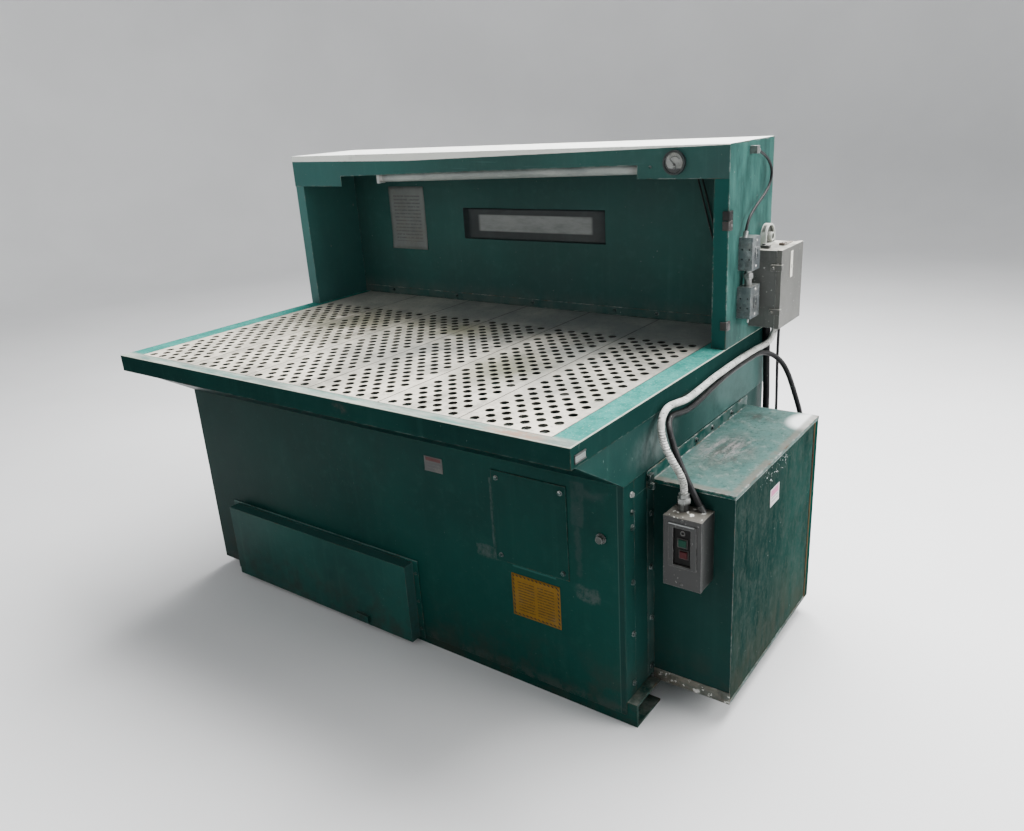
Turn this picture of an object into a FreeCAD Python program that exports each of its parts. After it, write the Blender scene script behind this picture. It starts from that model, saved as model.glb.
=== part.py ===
"""Downdraft finishing table with a backdraft hood, built from its separate pieces.

Units are millimetres. X runs left to right, Y front to back, Z up. The origin is on the
floor, under the middle of the cabinet, so the cabinet's front is at -Y and the blower box
is on the +X side.
"""
import FreeCAD, Part
import math
import os

V = FreeCAD.Vector

# ---------------------------------------------------------------- driving dimensions
SHEET = 3.0             # cabinet sheet steel
THIN = 2.0              # hood and box sheet steel

TABLE_HALF = 994.0      # half the width of the table rim and the hood
TABLE_TOP = 1011.0      # height of the work surface
RIM_H = 60.0            # height of the rim's outer face
LIP_Y = -791.0          # front face of the overhanging front rim
RIM_FRONT_W = 41.0      # width of the front rim's top
RIM_FLANGE = 26.0       # depth of the rim's inner flange
SKIRT_OUT = 991.0       # outer face of the side skirts
SKIRT_Z = 798.0         # lower edge of the skirts beside the cabinet

CAB_HALF = 988.0        # outer face of the cabinet's side panels
CAB_FRONT = -524.0      # cabinet front
CAB_REAR = 524.0        # cabinet rear
PANEL_BOTTOM = 34.0     # lower edge of the front panel
CORNER_RETURN = 60.0    # how far the front panel folds round each side

BASE_H = 80.0           # height of the base channels
BASE_LEFT = -905.0
BASE_RIGHT = 1022.0
BASE_W = 152.0          # width of a base channel
BASE_T = 6.0

GRATE_COUNT = 6
GRATE_W = 304.8         # pitch of the grate plates
GRATE_T = 4.8
GRATE_GAP = 1.5         # joint between neighbouring plates
GRATE_FRONT = -749.5
GRATE_REAR = 446.0
HOLE_R = 14.0           # round holes in the plates
HOLE_COLUMNS = 9
HOLE_EDGE = 38.1        # first column from the plate's left edge
HOLE_PITCH_X = 28.575
HOLE_PITCH_Y = 68.0
HOLE_FIRST_Y = -725.0
HOLE_ROWS = 14
BEARER_TOP = TABLE_TOP - GRATE_T - 0.3

HOOD_FRONT = 153.0
HOOD_BACK = 456.0       # front face of the hood's back panel
HOOD_REAR = 526.0
HOOD_TOP = 1652.0
POST_W = 50.0
FASCIA_MIDDLE = (1567.0, 1593.0)    # lower edge of the fascia's shallow middle, left and right
TOP_FOLD = ((-TABLE_HALF, 1629.5), (-327.0, 1623.5), (TABLE_HALF, 1649.0))  # its sagging edge
FOLD_T = 1.5
FASCIA_LEFT = (-703.0, 1527.0)      # where the deep left part ends, and its lower edge
FASCIA_RIGHT = (680.0, 1550.0)

ACCESS = (527.0, 800.0, 445.0, 757.0)       # bolted access panel: x0, x1, z0, z1
ACCESS_HOLE = (557.0, 770.0, 491.0, 711.0)

DRAWER_FRONT = (-825.0, 147.0, 20.0, 324.0)  # raised drawer front: x0, x1, z0, z1
DRAWER_PROUD = 45.0
DRAWER_SLOT = (-800.0, 122.0, 95.0, 296.0)   # opening in the cabinet front
TRAY = (-790.0, 112.0, 100.0, 290.0)
TRAY_REAR = 380.0

SHEET_X = 300.0         # filter tube sheet
FILTER_R = 162.0
FILTER_L = 650.0
FILTER_Y = (-250.0, 250.0)
FILTER_Z = 520.0
FILTER_BORE = 90.0

BOX_OUT = 1240.0        # outer face of the blower box
BOX_FRONT = -348.0
BOX_REAR = 369.0
BOX_BOTTOM = 60.0
BOX_TOP = 752.0
FAN_Y = 10.0            # blower axis, parallel to X
FAN_Z = 400.0
INLET_R = 110.0
SHAFT_R = 14.0
WHEEL_R = 190.0
SCROLL_MOUTH = 360.0    # where the scroll housing ends, just inside the exhaust grille

STARTER = (1065.0, 1181.0, 474.0, 695.0)     # push-button starter: x0, x1, z0, z1
STARTER_FRONT = -436.0
START_BUTTON = (1112.0, 1136.0, 607.0, 629.0)
STOP_BUTTON = (1117.0, 1139.0, 573.0, 594.0)
BUTTON_TRAVEL = 4.0

ENCL = (344.0, 547.0, 1048.0, 1305.0)        # control enclosure: y0, y1, z0, z1
ENCL_FACE = 1083.0      # front rim of the enclosure body
DOOR_T = 17.0
HINGE_X = 1084.0
HINGE_Y = 553.0

ARCH = (428.0, 516.0, 1305.0, 1330.0)   # supply hub: y0, y1, foot, height of the arch's centre
ARCH_DEPTH = 20.0
HUB_CENTRE = (489.0, 1328.0)            # y and z of its open hub

UPPER_BOX = (241.0, 307.0, 1255.0, 1360.0)   # switch boxes on the hood: y0, y1, z0, z1
LOWER_BOX = (239.0, 315.0, 1098.0, 1201.0)
SWITCH_DEPTH = 46.0

GAUGE_X = 814.0
GAUGE_Z = 1600.0
GAUGE_R = 37.5

# Routes of the cables, chosen by hand.
SIDE_CONDUIT = [
    (1102, -381, 745), (1102, -381, 772), (1093, -386, 802), (1068, -389, 841),
    (1042, -384, 879), (1024, -369, 914), (1012, -341, 943), (1008, -296, 961),
    (1008, -243, 955), (1009, -170, 943), (1009, -90, 947), (1009, 20, 955),
    (1009, 150, 958), (1009, 280, 959), (1010, 365, 958), (1015, 418, 958),
    (1024, 450, 962), (1029, 475, 972), (1032, 492, 990), (1032, 501, 1013),
    (1032, 501, 1036),
]
BLACK_CONDUIT = [
    (1144, -366, 708), (1130, -365, 731), (1109, -360, 763), (1086, -353, 799),
    (1063, -343, 834), (1043, -332, 868), (1027, -320, 899), (1013, -296, 918),
    (1005, -263, 924), (1004, -218, 915), (1004, -155, 904), (1004, -75, 907),
    (1004, 30, 921), (1004, 150, 932), (1005, 270, 935), (1007, 350, 935),
    (1011, 398, 937), (1024, 436, 934), (1049, 462, 919), (1075, 476, 890),
    (1096, 481, 850), (1112, 483, 805), (1127, 485, 760), (1141, 487, 716),
    (1150, 482, 676), (1154, 470, 648), (1155, 448, 628), (1155, 420, 619),
    (1155, 390, 619),
]
RISER = [(1007, 494, 1036), (1007, 494, 968), (1009, 500, 852), (1012, 503, 738),
         (1012, 503, 661)]
THIN_CABLE = [
    (1050, 492, 1040), (1050, 492, 1006), (1047, 498, 940), (1047, 503, 850),
    (1049, 504, 765), (1050, 505, 695), (1049, 505, 645), (1047, 505, 612),
    (1041, 505, 585), (1029, 505, 565), (1014, 505, 556), (1000, 505, 556),
]
GAUGE_TUBE = [              # from the gauge's rear: X and Z are offsets from its centre
    (0, 186, 0), (0, 234, 0), (-12, 315, -16), (-30, 398, -56), (-32, 440, -118),
    (-16, 448, -190), (6, 449, -270), (34, 449, -350), (58, 450, -422), (77, 452, -482),
    (83, 452, -520), (83, 452, -545),
]
HOOD_CORD = [
    (1008, 346, 1619), (1010, 387, 1606), (1012, 430, 1584), (1013, 461, 1552),
    (1013, 458, 1518), (1013, 430, 1491), (1013, 381, 1469), (1013, 327, 1447),
    (1013, 282, 1424), (1013, 259, 1401), (1013, 250, 1379),
]
SIDE_CONDUIT_D = 21.0
BLACK_CONDUIT_D = 18.0
RISER_D = 24.0
THIN_CABLE_D = 10.0
GAUGE_TUBE_D = 6.0
HOOD_CORD_D = 9.0
GAUGE_PORT = 8.0        # distance of each gauge port from the gauge's centre


# ---------------------------------------------------------------- building blocks
def block(x0, x1, y0, y1, z0, z1):
    """A rectangular block between two corners."""
    return Part.makeBox(x1 - x0, y1 - y0, z1 - z0, V(x0, y0, z0))


def rod(radius, start, direction, length):
    """A round bar from a start point along a direction."""
    return Part.makeCylinder(radius, length, V(*start), V(*direction))


def ring(outer, inner, start, direction, length):
    """A round tube from a start point along a direction."""
    return rod(outer, start, direction, length).cut(rod(inner, start, direction, length))


def polygon(points):
    """A flat face from its corner points."""
    corners = [V(*p) for p in points]
    return Part.Face(Part.makePolygon(corners + corners[:1]))


def extrude_x(outline, x0, x1):
    """Extrude a (y, z) outline from x0 to x1."""
    return polygon([(x0, y, z) for y, z in outline]).extrude(V(x1 - x0, 0, 0))


def extrude_y(outline, y0, y1):
    """Extrude an (x, z) outline from y0 to y1."""
    return polygon([(x, y0, z) for x, z in outline]).extrude(V(0, y1 - y0, 0))


def extrude_z(outline, z0, z1):
    """Extrude an (x, y) outline from z0 to z1."""
    return polygon([(x, y, z0) for x, y in outline]).extrude(V(0, 0, z1 - z0))


def mirror_x(shape):
    """The same piece on the other side of the object."""
    return shape.mirror(V(0, 0, 0), V(1, 0, 0))


def fuse(*shapes):
    """One welded or cast piece from several shapes."""
    return shapes[0].multiFuse(list(shapes[1:])).removeSplitter()


def route_wire(points):
    """Straight runs joined by tangent arcs, each as large as its two runs allow."""
    corners = [V(*p) for p in points]
    edges = []
    radii = []
    start = corners[0]
    for before, corner, after in zip(corners, corners[1:], corners[2:]):
        into = corner - before
        out = after - corner
        reach = 0.45 * min(into.Length, out.Length)
        into.normalize()
        out.normalize()
        half_turn = into.getAngle(out) / 2
        radius = reach / math.tan(half_turn)
        inward = out - into
        inward.normalize()
        arc_start = corner - into * reach
        arc_end = corner + out * reach
        arc_middle = corner + inward * (radius / math.cos(half_turn) - radius)
        edges.append(Part.LineSegment(start, arc_start).toShape())
        edges.append(Part.Arc(arc_start, arc_middle, arc_end).toShape())
        radii.append(radius)
        start = arc_end
    edges.append(Part.LineSegment(start, corners[-1]).toShape())
    return Part.Wire(edges), radii


def tube(name, points, diameter):
    """A round cable or conduit along a route, with its bends and volume printed."""
    wire, radii = route_wire(points)
    direction = V(*points[1]) - V(*points[0])
    profile = Part.Wire(Part.Circle(V(*points[0]), direction, diameter / 2).toShape())
    solid = wire.makePipeShell([profile], True, False)
    expected = wire.Length * math.pi * diameter ** 2 / 4
    print(f"{name}: length {wire.Length:.0f}, volume / expected {solid.Volume / expected:.4f}")
    print("  bend radii in diameters:", [round(radius / diameter, 1) for radius in radii])
    return solid


def hex_prism(across_flats, start, direction, length):
    """A six-sided head or nut."""
    corner_r = across_flats / math.sqrt(3)
    points = []
    for k in range(6):
        angle = math.radians(60 * k)
        points.append((corner_r * math.cos(angle), corner_r * math.sin(angle), 0))
    prism = polygon(points).extrude(V(0, 0, length))
    turn = FreeCAD.Rotation(V(0, 0, 1), V(*direction))
    prism.Placement = FreeCAD.Placement(V(*start), turn)
    return prism


def bolt_head(start, direction, across_flats=13.0):
    """A hex bolt head on its washer, standing on a face."""
    washer = rod(across_flats * 0.72, start, direction, 1.5)
    top = V(*start) + V(*direction) * 1.5
    head = hex_prism(across_flats, tuple(top), direction, across_flats * 0.42)
    return washer.fuse(head)


def save(node, *solids):
    """Write one node, a single solid or a group of separate solids."""
    shape = solids[0] if len(solids) == 1 else Part.makeCompound(list(solids))
    for solid in shape.Solids:
        if not solid.isValid():
            print("invalid solid in", node)
    shape.exportStep(os.path.join("parts", node + ".step"))


# ---------------------------------------------------------------- base and cabinet
def base_channels():
    """Two channels with their backs outwards, and a centre tie that lies flat on the floor."""
    def channel(y0, back_in_front):
        outer = block(BASE_LEFT, BASE_RIGHT, y0, y0 + BASE_W, 0, BASE_H)
        low = y0 + BASE_T if back_in_front else y0
        inner = block(BASE_LEFT, BASE_RIGHT, low, low + BASE_W - BASE_T, BASE_T, BASE_H - BASE_T)
        return outer.cut(inner)
    front_y = CAB_FRONT + SHEET
    rear_y = CAB_REAR - SHEET - BASE_W
    tie = block(-40, 40, front_y + BASE_W, rear_y, 0, BASE_H)
    tie = tie.cut(block(-40 + BASE_T, 40 - BASE_T, front_y + BASE_W, rear_y, BASE_T, BASE_H))
    save("base_channels", channel(front_y, True), channel(rear_y, False), tie)


def floor_pan():
    """The cabinet's bottom sheet."""
    inside = CAB_HALF - SHEET
    save("floor_pan", block(-inside, inside, CAB_FRONT + SHEET, CAB_REAR - SHEET,
                            BASE_H, BASE_H + SHEET))


def front_panel():
    """The cabinet front, folded round both corners, with the drawer and access openings."""
    face = block(-CAB_HALF, CAB_HALF, CAB_FRONT, CAB_FRONT + SHEET, PANEL_BOTTOM, 800)
    fold = block(CAB_HALF - SHEET, CAB_HALF, CAB_FRONT, CAB_FRONT + CORNER_RETURN,
                 BASE_H, 800)
    panel = fuse(face, fold, mirror_x(fold))
    corners = []
    for edge in panel.Edges:
        ends = [v.Point for v in edge.Vertexes]
        if len(ends) == 2 and all(abs(abs(p.x) - CAB_HALF) < 0.1 for p in ends):
            upright = abs(ends[0].z - ends[1].z) > 600
            if upright and all(abs(p.y - CAB_FRONT) < 0.1 for p in ends):
                corners.append(edge)
    panel = panel.makeFillet(2.5, corners)
    x0, x1, z0, z1 = DRAWER_SLOT
    panel = panel.cut(block(x0, x1, CAB_FRONT - 1, CAB_FRONT + SHEET + 1, z0, z1))
    x0, x1, z0, z1 = ACCESS_HOLE
    panel = panel.cut(block(x0, x1, CAB_FRONT - 1, CAB_FRONT + SHEET + 1, z0, z1))
    save("front_panel", panel)


def side_and_rear_panels():
    """Left, right and rear cabinet sheets. The right one holds the blower inlet hole."""
    y0 = CAB_FRONT + CORNER_RETURN
    top = TABLE_TOP - SHEET - 5
    left = block(-CAB_HALF, -CAB_HALF + SHEET, y0, CAB_REAR - SHEET, PANEL_BOTTOM, top)
    right = block(CAB_HALF - SHEET, CAB_HALF, y0, CAB_REAR - SHEET, BASE_H, top)
    inlet = rod(INLET_R, (CAB_HALF - SHEET - 1, FAN_Y, FAN_Z), (1, 0, 0), SHEET + 2)
    save("side_panel_left", left)
    save("side_panel_right", right.cut(inlet))
    save("rear_panel", block(-CAB_HALF, CAB_HALF, CAB_REAR - SHEET, CAB_REAR,
                             PANEL_BOTTOM, top))


def table_skirt():
    """Side skirts with a sloping front, and the sloping sheet under the front overhang."""
    rim_back = LIP_Y + 20
    lip_bottom = TABLE_TOP - RIM_H
    flange_y = LIP_Y + RIM_FRONT_W
    flange_z = TABLE_TOP - RIM_FLANGE
    outline = [(LIP_Y + SHEET, flange_z), (LIP_Y + SHEET, lip_bottom + SHEET),
               (rim_back, lip_bottom + SHEET), (rim_back, lip_bottom),
               (CAB_FRONT, SKIRT_Z - 1), (CAB_REAR, SKIRT_Z - 1),
               (CAB_REAR, TABLE_TOP - SHEET), (flange_y, TABLE_TOP - SHEET),
               (flange_y, flange_z)]
    right = extrude_x(outline, SKIRT_OUT - SHEET, SKIRT_OUT)
    slope = extrude_x([(rim_back, lip_bottom), (CAB_FRONT, SKIRT_Z - 1),
                       (CAB_FRONT, SKIRT_Z + 2), (rim_back, lip_bottom + SHEET)],
                      -SKIRT_OUT + SHEET, SKIRT_OUT - SHEET)
    save("table_skirt", right, mirror_x(right), slope)


def table_rim():
    """Folded channel round three sides of the work surface."""
    top = TABLE_TOP
    low = TABLE_TOP - RIM_H
    back = LIP_Y + RIM_FRONT_W
    flange = top - RIM_FLANGE
    front = extrude_x([(LIP_Y, low), (LIP_Y, top), (back, top), (back, flange),
                       (back - SHEET, flange), (back - SHEET, top - SHEET),
                       (LIP_Y + SHEET, top - SHEET), (LIP_Y + SHEET, low + SHEET),
                       (LIP_Y + 20, low + SHEET), (LIP_Y + 20, low)],
                      -TABLE_HALF + SHEET, TABLE_HALF - SHEET)
    end = block(TABLE_HALF - SHEET, TABLE_HALF, LIP_Y, back, low, top)
    front = fuse(front, end, mirror_x(end))
    rounded = []
    for edge in front.Edges:
        middle = edge.CenterOfMass
        if abs(middle.y - LIP_Y) < 0.1 and abs(middle.z - top) < 0.1:
            rounded.append(edge)
    front = front.makeFillet(2.2, rounded)
    inner = GRATE_COUNT * GRATE_W / 2 + 0.5
    side = extrude_y([(TABLE_HALF, low), (TABLE_HALF, top), (inner, top), (inner, flange),
                      (inner + SHEET, flange), (inner + SHEET, top - SHEET),
                      (TABLE_HALF - SHEET, top - SHEET), (TABLE_HALF - SHEET, low)],
                     back, CAB_REAR - SHEET)
    rounded = []
    for edge in side.Edges:
        middle = edge.CenterOfMass
        if abs(middle.x - TABLE_HALF) < 0.1 and abs(middle.z - top) < 0.1:
            rounded.append(edge)
    side = side.makeFillet(2.2, rounded)
    save("table_rim", front, side, mirror_x(side))


def grate_bearers():
    """Tee bars under the joints of the plates, edge ledges, and two cross tubes."""
    half = GRATE_COUNT * GRATE_W / 2
    solids = []
    for k in range(1, GRATE_COUNT):
        x = -half + k * GRATE_W
        tee = extrude_y([(x - 19, BEARER_TOP), (x - 19, BEARER_TOP - 5), (x - 2.5, BEARER_TOP - 5),
                         (x - 2.5, 956), (x + 2.5, 956), (x + 2.5, BEARER_TOP - 5),
                         (x + 19, BEARER_TOP - 5), (x + 19, BEARER_TOP)],
                        LIP_Y + RIM_FRONT_W + 28, GRATE_REAR - 20)
        solids.append(tee)
    edge = half + 0.5
    side = extrude_y([(edge, BEARER_TOP), (edge, 986), (edge - 3, 986), (edge - 3, BEARER_TOP - 3),
                      (edge - 26, BEARER_TOP - 3), (edge - 26, BEARER_TOP)],
                     LIP_Y + RIM_FRONT_W + 28, GRATE_REAR - 20)
    solids.append(side)
    solids.append(mirror_x(side))
    front_y = LIP_Y + RIM_FRONT_W
    solids.append(extrude_x([(front_y, BEARER_TOP), (front_y, 986), (front_y + 3, 986),
                             (front_y + 3, BEARER_TOP - 3), (front_y + 27, BEARER_TOP - 3),
                             (front_y + 27, BEARER_TOP)], -edge, edge))
    rear_y = HOOD_BACK
    solids.append(extrude_x([(rear_y, BEARER_TOP), (rear_y, 986), (rear_y - 3, 986),
                             (rear_y - 3, BEARER_TOP - 3), (rear_y - 29, BEARER_TOP - 3),
                             (rear_y - 29, BEARER_TOP)], -edge, edge))
    inside = CAB_HALF - SHEET
    for y in (-330, 210):
        outer = block(-inside, inside, y - 20, y + 20, 896, 956)
        solids.append(outer.cut(block(-inside, inside, y - 17, y + 17, 899, 953)))
    save("grate_bearers", *solids)


def grate(index):
    """One perforated plate. Its rear quarter, under the hood, has no holes."""
    left = -GRATE_COUNT * GRATE_W / 2 + index * GRATE_W
    z0 = TABLE_TOP - GRATE_T
    x0 = left + GRATE_GAP / 2
    x1 = left + GRATE_W - GRATE_GAP / 2
    corners = [V(x0, GRATE_FRONT, z0), V(x1, GRATE_FRONT, z0), V(x1, GRATE_REAR, z0),
               V(x0, GRATE_REAR, z0)]
    wires = [Part.makePolygon(corners + corners[:1])]
    for column in range(HOLE_COLUMNS):
        staggered = column % 2
        x = left + HOLE_EDGE + column * HOLE_PITCH_X
        for row in range(HOLE_ROWS - staggered):
            y = HOLE_FIRST_Y + (row + staggered / 2) * HOLE_PITCH_Y
            wires.append(Part.Wire(Part.Circle(V(x, y, z0), V(0, 0, 1), HOLE_R).toShape()))
    plate = Part.Face(wires, "Part::FaceMakerBullseye").extrude(V(0, 0, GRATE_T))
    save(f"grate_{index + 1}", plate)


def access_panel():
    """Bolted cover over the filter access opening, on its gasket strip."""
    x0, x1, z0, z1 = ACCESS
    save("access_panel", block(x0, x1, CAB_FRONT - SHEET, CAB_FRONT, z0, z1))


# ---------------------------------------------------------------- dust drawer
def dust_drawer():
    """Raised front with a folded top grip, the tray behind it, and two runners."""
    x0, x1, z0, z1 = DRAWER_FRONT
    y0 = CAB_FRONT - DRAWER_PROUD
    face_gap = 0.5
    y1 = CAB_FRONT - face_gap
    shell = block(x0, x1, y0, y1, z0, z1)
    shell = shell.cut(block(x0 + SHEET, x1 - SHEET, y0 + SHEET, y1 + 1, z0 + SHEET, z1 - SHEET))
    flange_right = block(x1, x1 + 24, y1 - SHEET, y1, z0, z1)
    flange_left = block(x0 - 24, x0, y1 - SHEET, y1, z0, z1)
    flange_top = block(x0 - 24, x1 + 24, y1 - SHEET, y1, z1, z1 + 10)
    latch = block(-124, -62, y0 - 12, y0, 34, 62)
    front = fuse(shell, flange_right, flange_left, flange_top, latch)
    screws = []
    for x in (x0 - 13, x1 + 13):
        for z in (z0 + 40, (z0 + z1) / 2, z1 - 40):
            screws.append(rod(5.5, (x, y1 - SHEET, z), (0, -1, 0), 4))
    save("drawer_front", front, *screws)
    x0, x1, z0, z1 = TRAY
    front = y0 + SHEET
    tray = block(x0, x1, front, TRAY_REAR, z0, z1)
    tray = tray.cut(block(x0 + THIN, x1 - THIN, front + THIN, TRAY_REAR - THIN, z0 + THIN, z1 + 1))
    save("drawer_tray", tray)
    floor = BASE_H + SHEET
    out = x1 + 5
    runner = extrude_y([(out, floor), (out, 140), (out - 2, 140), (out - 2, z0 - 1),
                        (out - 26, z0 - 1), (out - 26, z0 - 4), (out - 2, z0 - 4),
                        (out - 2, floor)], CAB_FRONT + 8, TRAY_REAR + 20)
    out = x0 - 5
    other = extrude_y([(out, floor), (out, 140), (out + 2, 140), (out + 2, z0 - 1),
                       (out + 26, z0 - 1), (out + 26, z0 - 4), (out + 2, z0 - 4),
                       (out + 2, floor)], CAB_FRONT + 8, TRAY_REAR + 20)
    save("drawer_runners", runner, other)


# ---------------------------------------------------------------- filters
def tube_sheet():
    """Wall between the dusty and the clean side, with a sloping deck over the clean side."""
    inside = CAB_HALF - SHEET
    y0 = CAB_FRONT + SHEET
    y1 = CAB_REAR - SHEET
    wall = block(SHEET_X, SHEET_X + SHEET, y0, y1, BASE_H + SHEET, 740)
    for y in FILTER_Y:
        wall = wall.cut(rod(FILTER_BORE, (SHEET_X - 1, y, FILTER_Z), (1, 0, 0), SHEET + 2))
    deck = extrude_y([(SHEET_X, 740), (inside, 794), (inside, 797), (SHEET_X, 743)], y0, y1)
    save("tube_sheet", fuse(wall, deck))


def filter_cartridges():
    """Two pleated cartridges hung from the tube sheet on tie rods."""
    ties = []
    for index, y in enumerate(FILTER_Y):
        closed_x = SHEET_X - FILTER_L
        media = ring(FILTER_R - 4, 105, (closed_x + 8, y, FILTER_Z), (1, 0, 0), FILTER_L - 16)
        open_cap = ring(FILTER_R, FILTER_BORE, (SHEET_X - 8, y, FILTER_Z), (1, 0, 0), 8)
        closed_cap = ring(FILTER_R, 6.5, (closed_x, y, FILTER_Z), (1, 0, 0), 8)
        save(f"filter_cartridge_{index + 1}", fuse(media, open_cap, closed_cap))
        yoke_x = SHEET_X + SHEET
        ties.append(rod(6, (closed_x - 28, y, FILTER_Z), (1, 0, 0), yoke_x - closed_x + 28))
        ties.append(hex_prism(19, (closed_x - 12, y, FILTER_Z), (1, 0, 0), 12).cut(
            rod(6, (closed_x - 13, y, FILTER_Z), (1, 0, 0), 14)))
        ties.append(block(yoke_x, yoke_x + 8, y - 110, y + 110, FILTER_Z - 15, FILTER_Z + 15))
    save("filter_tie_rods", *ties)


# ---------------------------------------------------------------- blower
def blower_motor():
    """Foot-mounted motor on the clean side, with its stand, and the shaft to the wheel."""
    x0 = 640
    x1 = 900
    axis = (1, 0, 0)
    body = rod(108, (x0 + 25, FAN_Y, FAN_Z), axis, x1 - x0 - 50)
    rear_bell = rod(98, (x0, FAN_Y, FAN_Z), axis, 25)
    front_bell = rod(98, (x1 - 25, FAN_Y, FAN_Z), axis, 25)
    foot_z = FAN_Z - 114
    feet = block(x0 + 45, x1 - 45, FAN_Y - 100, FAN_Y + 100, foot_z, foot_z + 14)
    web = block(x0 + 55, x1 - 55, FAN_Y - 80, FAN_Y + 80, foot_z + 14, FAN_Z - 60)
    terminal_box = block(x0 + 80, x1 - 80, FAN_Y - 160, FAN_Y - 90, FAN_Z - 40, FAN_Z + 50)
    motor = fuse(body, rear_bell, front_bell, feet, web, terminal_box)
    bore_end = x0 + 60
    motor = motor.cut(rod(SHAFT_R + 0.05, (bore_end, FAN_Y, FAN_Z), axis, x1 - bore_end + 1))
    save("blower_motor", motor)
    floor = BASE_H + SHEET
    top = block(x0 + 20, x1 - 20, FAN_Y - 115, FAN_Y + 115, foot_z - 8, foot_z)
    wall = block(x0 + 20, x1 - 20, FAN_Y - 115, FAN_Y - 110, floor, foot_z - 8)
    other = block(x0 + 20, x1 - 20, FAN_Y + 110, FAN_Y + 115, floor, foot_z - 8)
    save("motor_stand", fuse(top, wall, other))
    save("blower_shaft", rod(SHAFT_R, (bore_end + 2, FAN_Y, FAN_Z), axis, 1172 - bore_end))


def wheel_blade(angle):
    """One backward-curved blade, an arc in the wheel's plane."""
    def at(radius, degrees):
        turn = math.radians(angle + degrees)
        return V(1039, FAN_Y + radius * math.cos(turn), FAN_Z + radius * math.sin(turn))
    inner = Part.Arc(at(113, 0), at(152, -13), at(186, -34)).toShape()
    outer = Part.Arc(at(186, -32), at(155, -11.5), at(115, 1.6)).toShape()
    tip = Part.LineSegment(at(186, -34), at(186, -32)).toShape()
    root = Part.LineSegment(at(115, 1.6), at(113, 0)).toShape()
    return Part.Face(Part.Wire([inner, tip, outer, root])).extrude(V(121, 0, 0))


def blower_wheel():
    """Backward-curved wheel: back plate with hub, blades, and inlet shroud."""
    axis = (1, 0, 0)
    plate = ring(WHEEL_R, SHAFT_R, (1160, FAN_Y, FAN_Z), axis, 4)
    hub = ring(34, SHAFT_R, (1120, FAN_Y, FAN_Z), axis, 40)
    shroud = ring(WHEEL_R, 108, (1036, FAN_Y, FAN_Z), axis, 3)
    blades = [wheel_blade(36 * k) for k in range(10)]
    save("blower_wheel", fuse(plate, hub, shroud, *blades))


def inlet_cone():
    """Spun bellmouth from the side panel into the wheel's eye."""
    profile = [(983, 150), (983, INLET_R - 2.5), (1000, 105), (1044, 102), (1044, 104),
               (1000, 107), (985, INLET_R - 0.5), (985, 150)]
    face = polygon([(x, FAN_Y + r, FAN_Z) for x, r in profile])
    return face.revolve(V(0, FAN_Y, FAN_Z), V(1, 0, 0), 360)


def blower_housing():
    """Spiral housing open towards the exhaust grille at the rear, and its inlet cone."""
    def spiral(extra, start, x0, x1, mouth_y):
        points = []
        for step in range(25):
            degrees = start + (270 - start) * step / 24
            radius = 215 + 85 * step / 24 + extra
            turn = math.radians(degrees)
            points.append(V(x0, FAN_Y + radius * math.cos(turn), FAN_Z + radius * math.sin(turn)))
        curve = Part.BSplineCurve()
        curve.interpolate(points)
        lower = V(x0, mouth_y, points[-1].z)
        upper = V(x0, mouth_y, points[0].z)
        edges = [curve.toShape(), Part.LineSegment(points[-1], lower).toShape(),
                 Part.LineSegment(lower, upper).toShape(),
                 Part.LineSegment(upper, points[0]).toShape()]
        return Part.Face(Part.Wire(edges)).extrude(V(x1 - x0, 0, 0))
    outer = spiral(THIN, -29.1, 1000, 1190, SCROLL_MOUTH)
    inner = spiral(0, -30, 1000 + THIN, 1190 - THIN, SCROLL_MOUTH + 2)
    eye = rod(130, (999, FAN_Y, FAN_Z), (1, 0, 0), 4)
    save("blower_housing", outer.cut(inner).cut(eye), inlet_cone())


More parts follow.
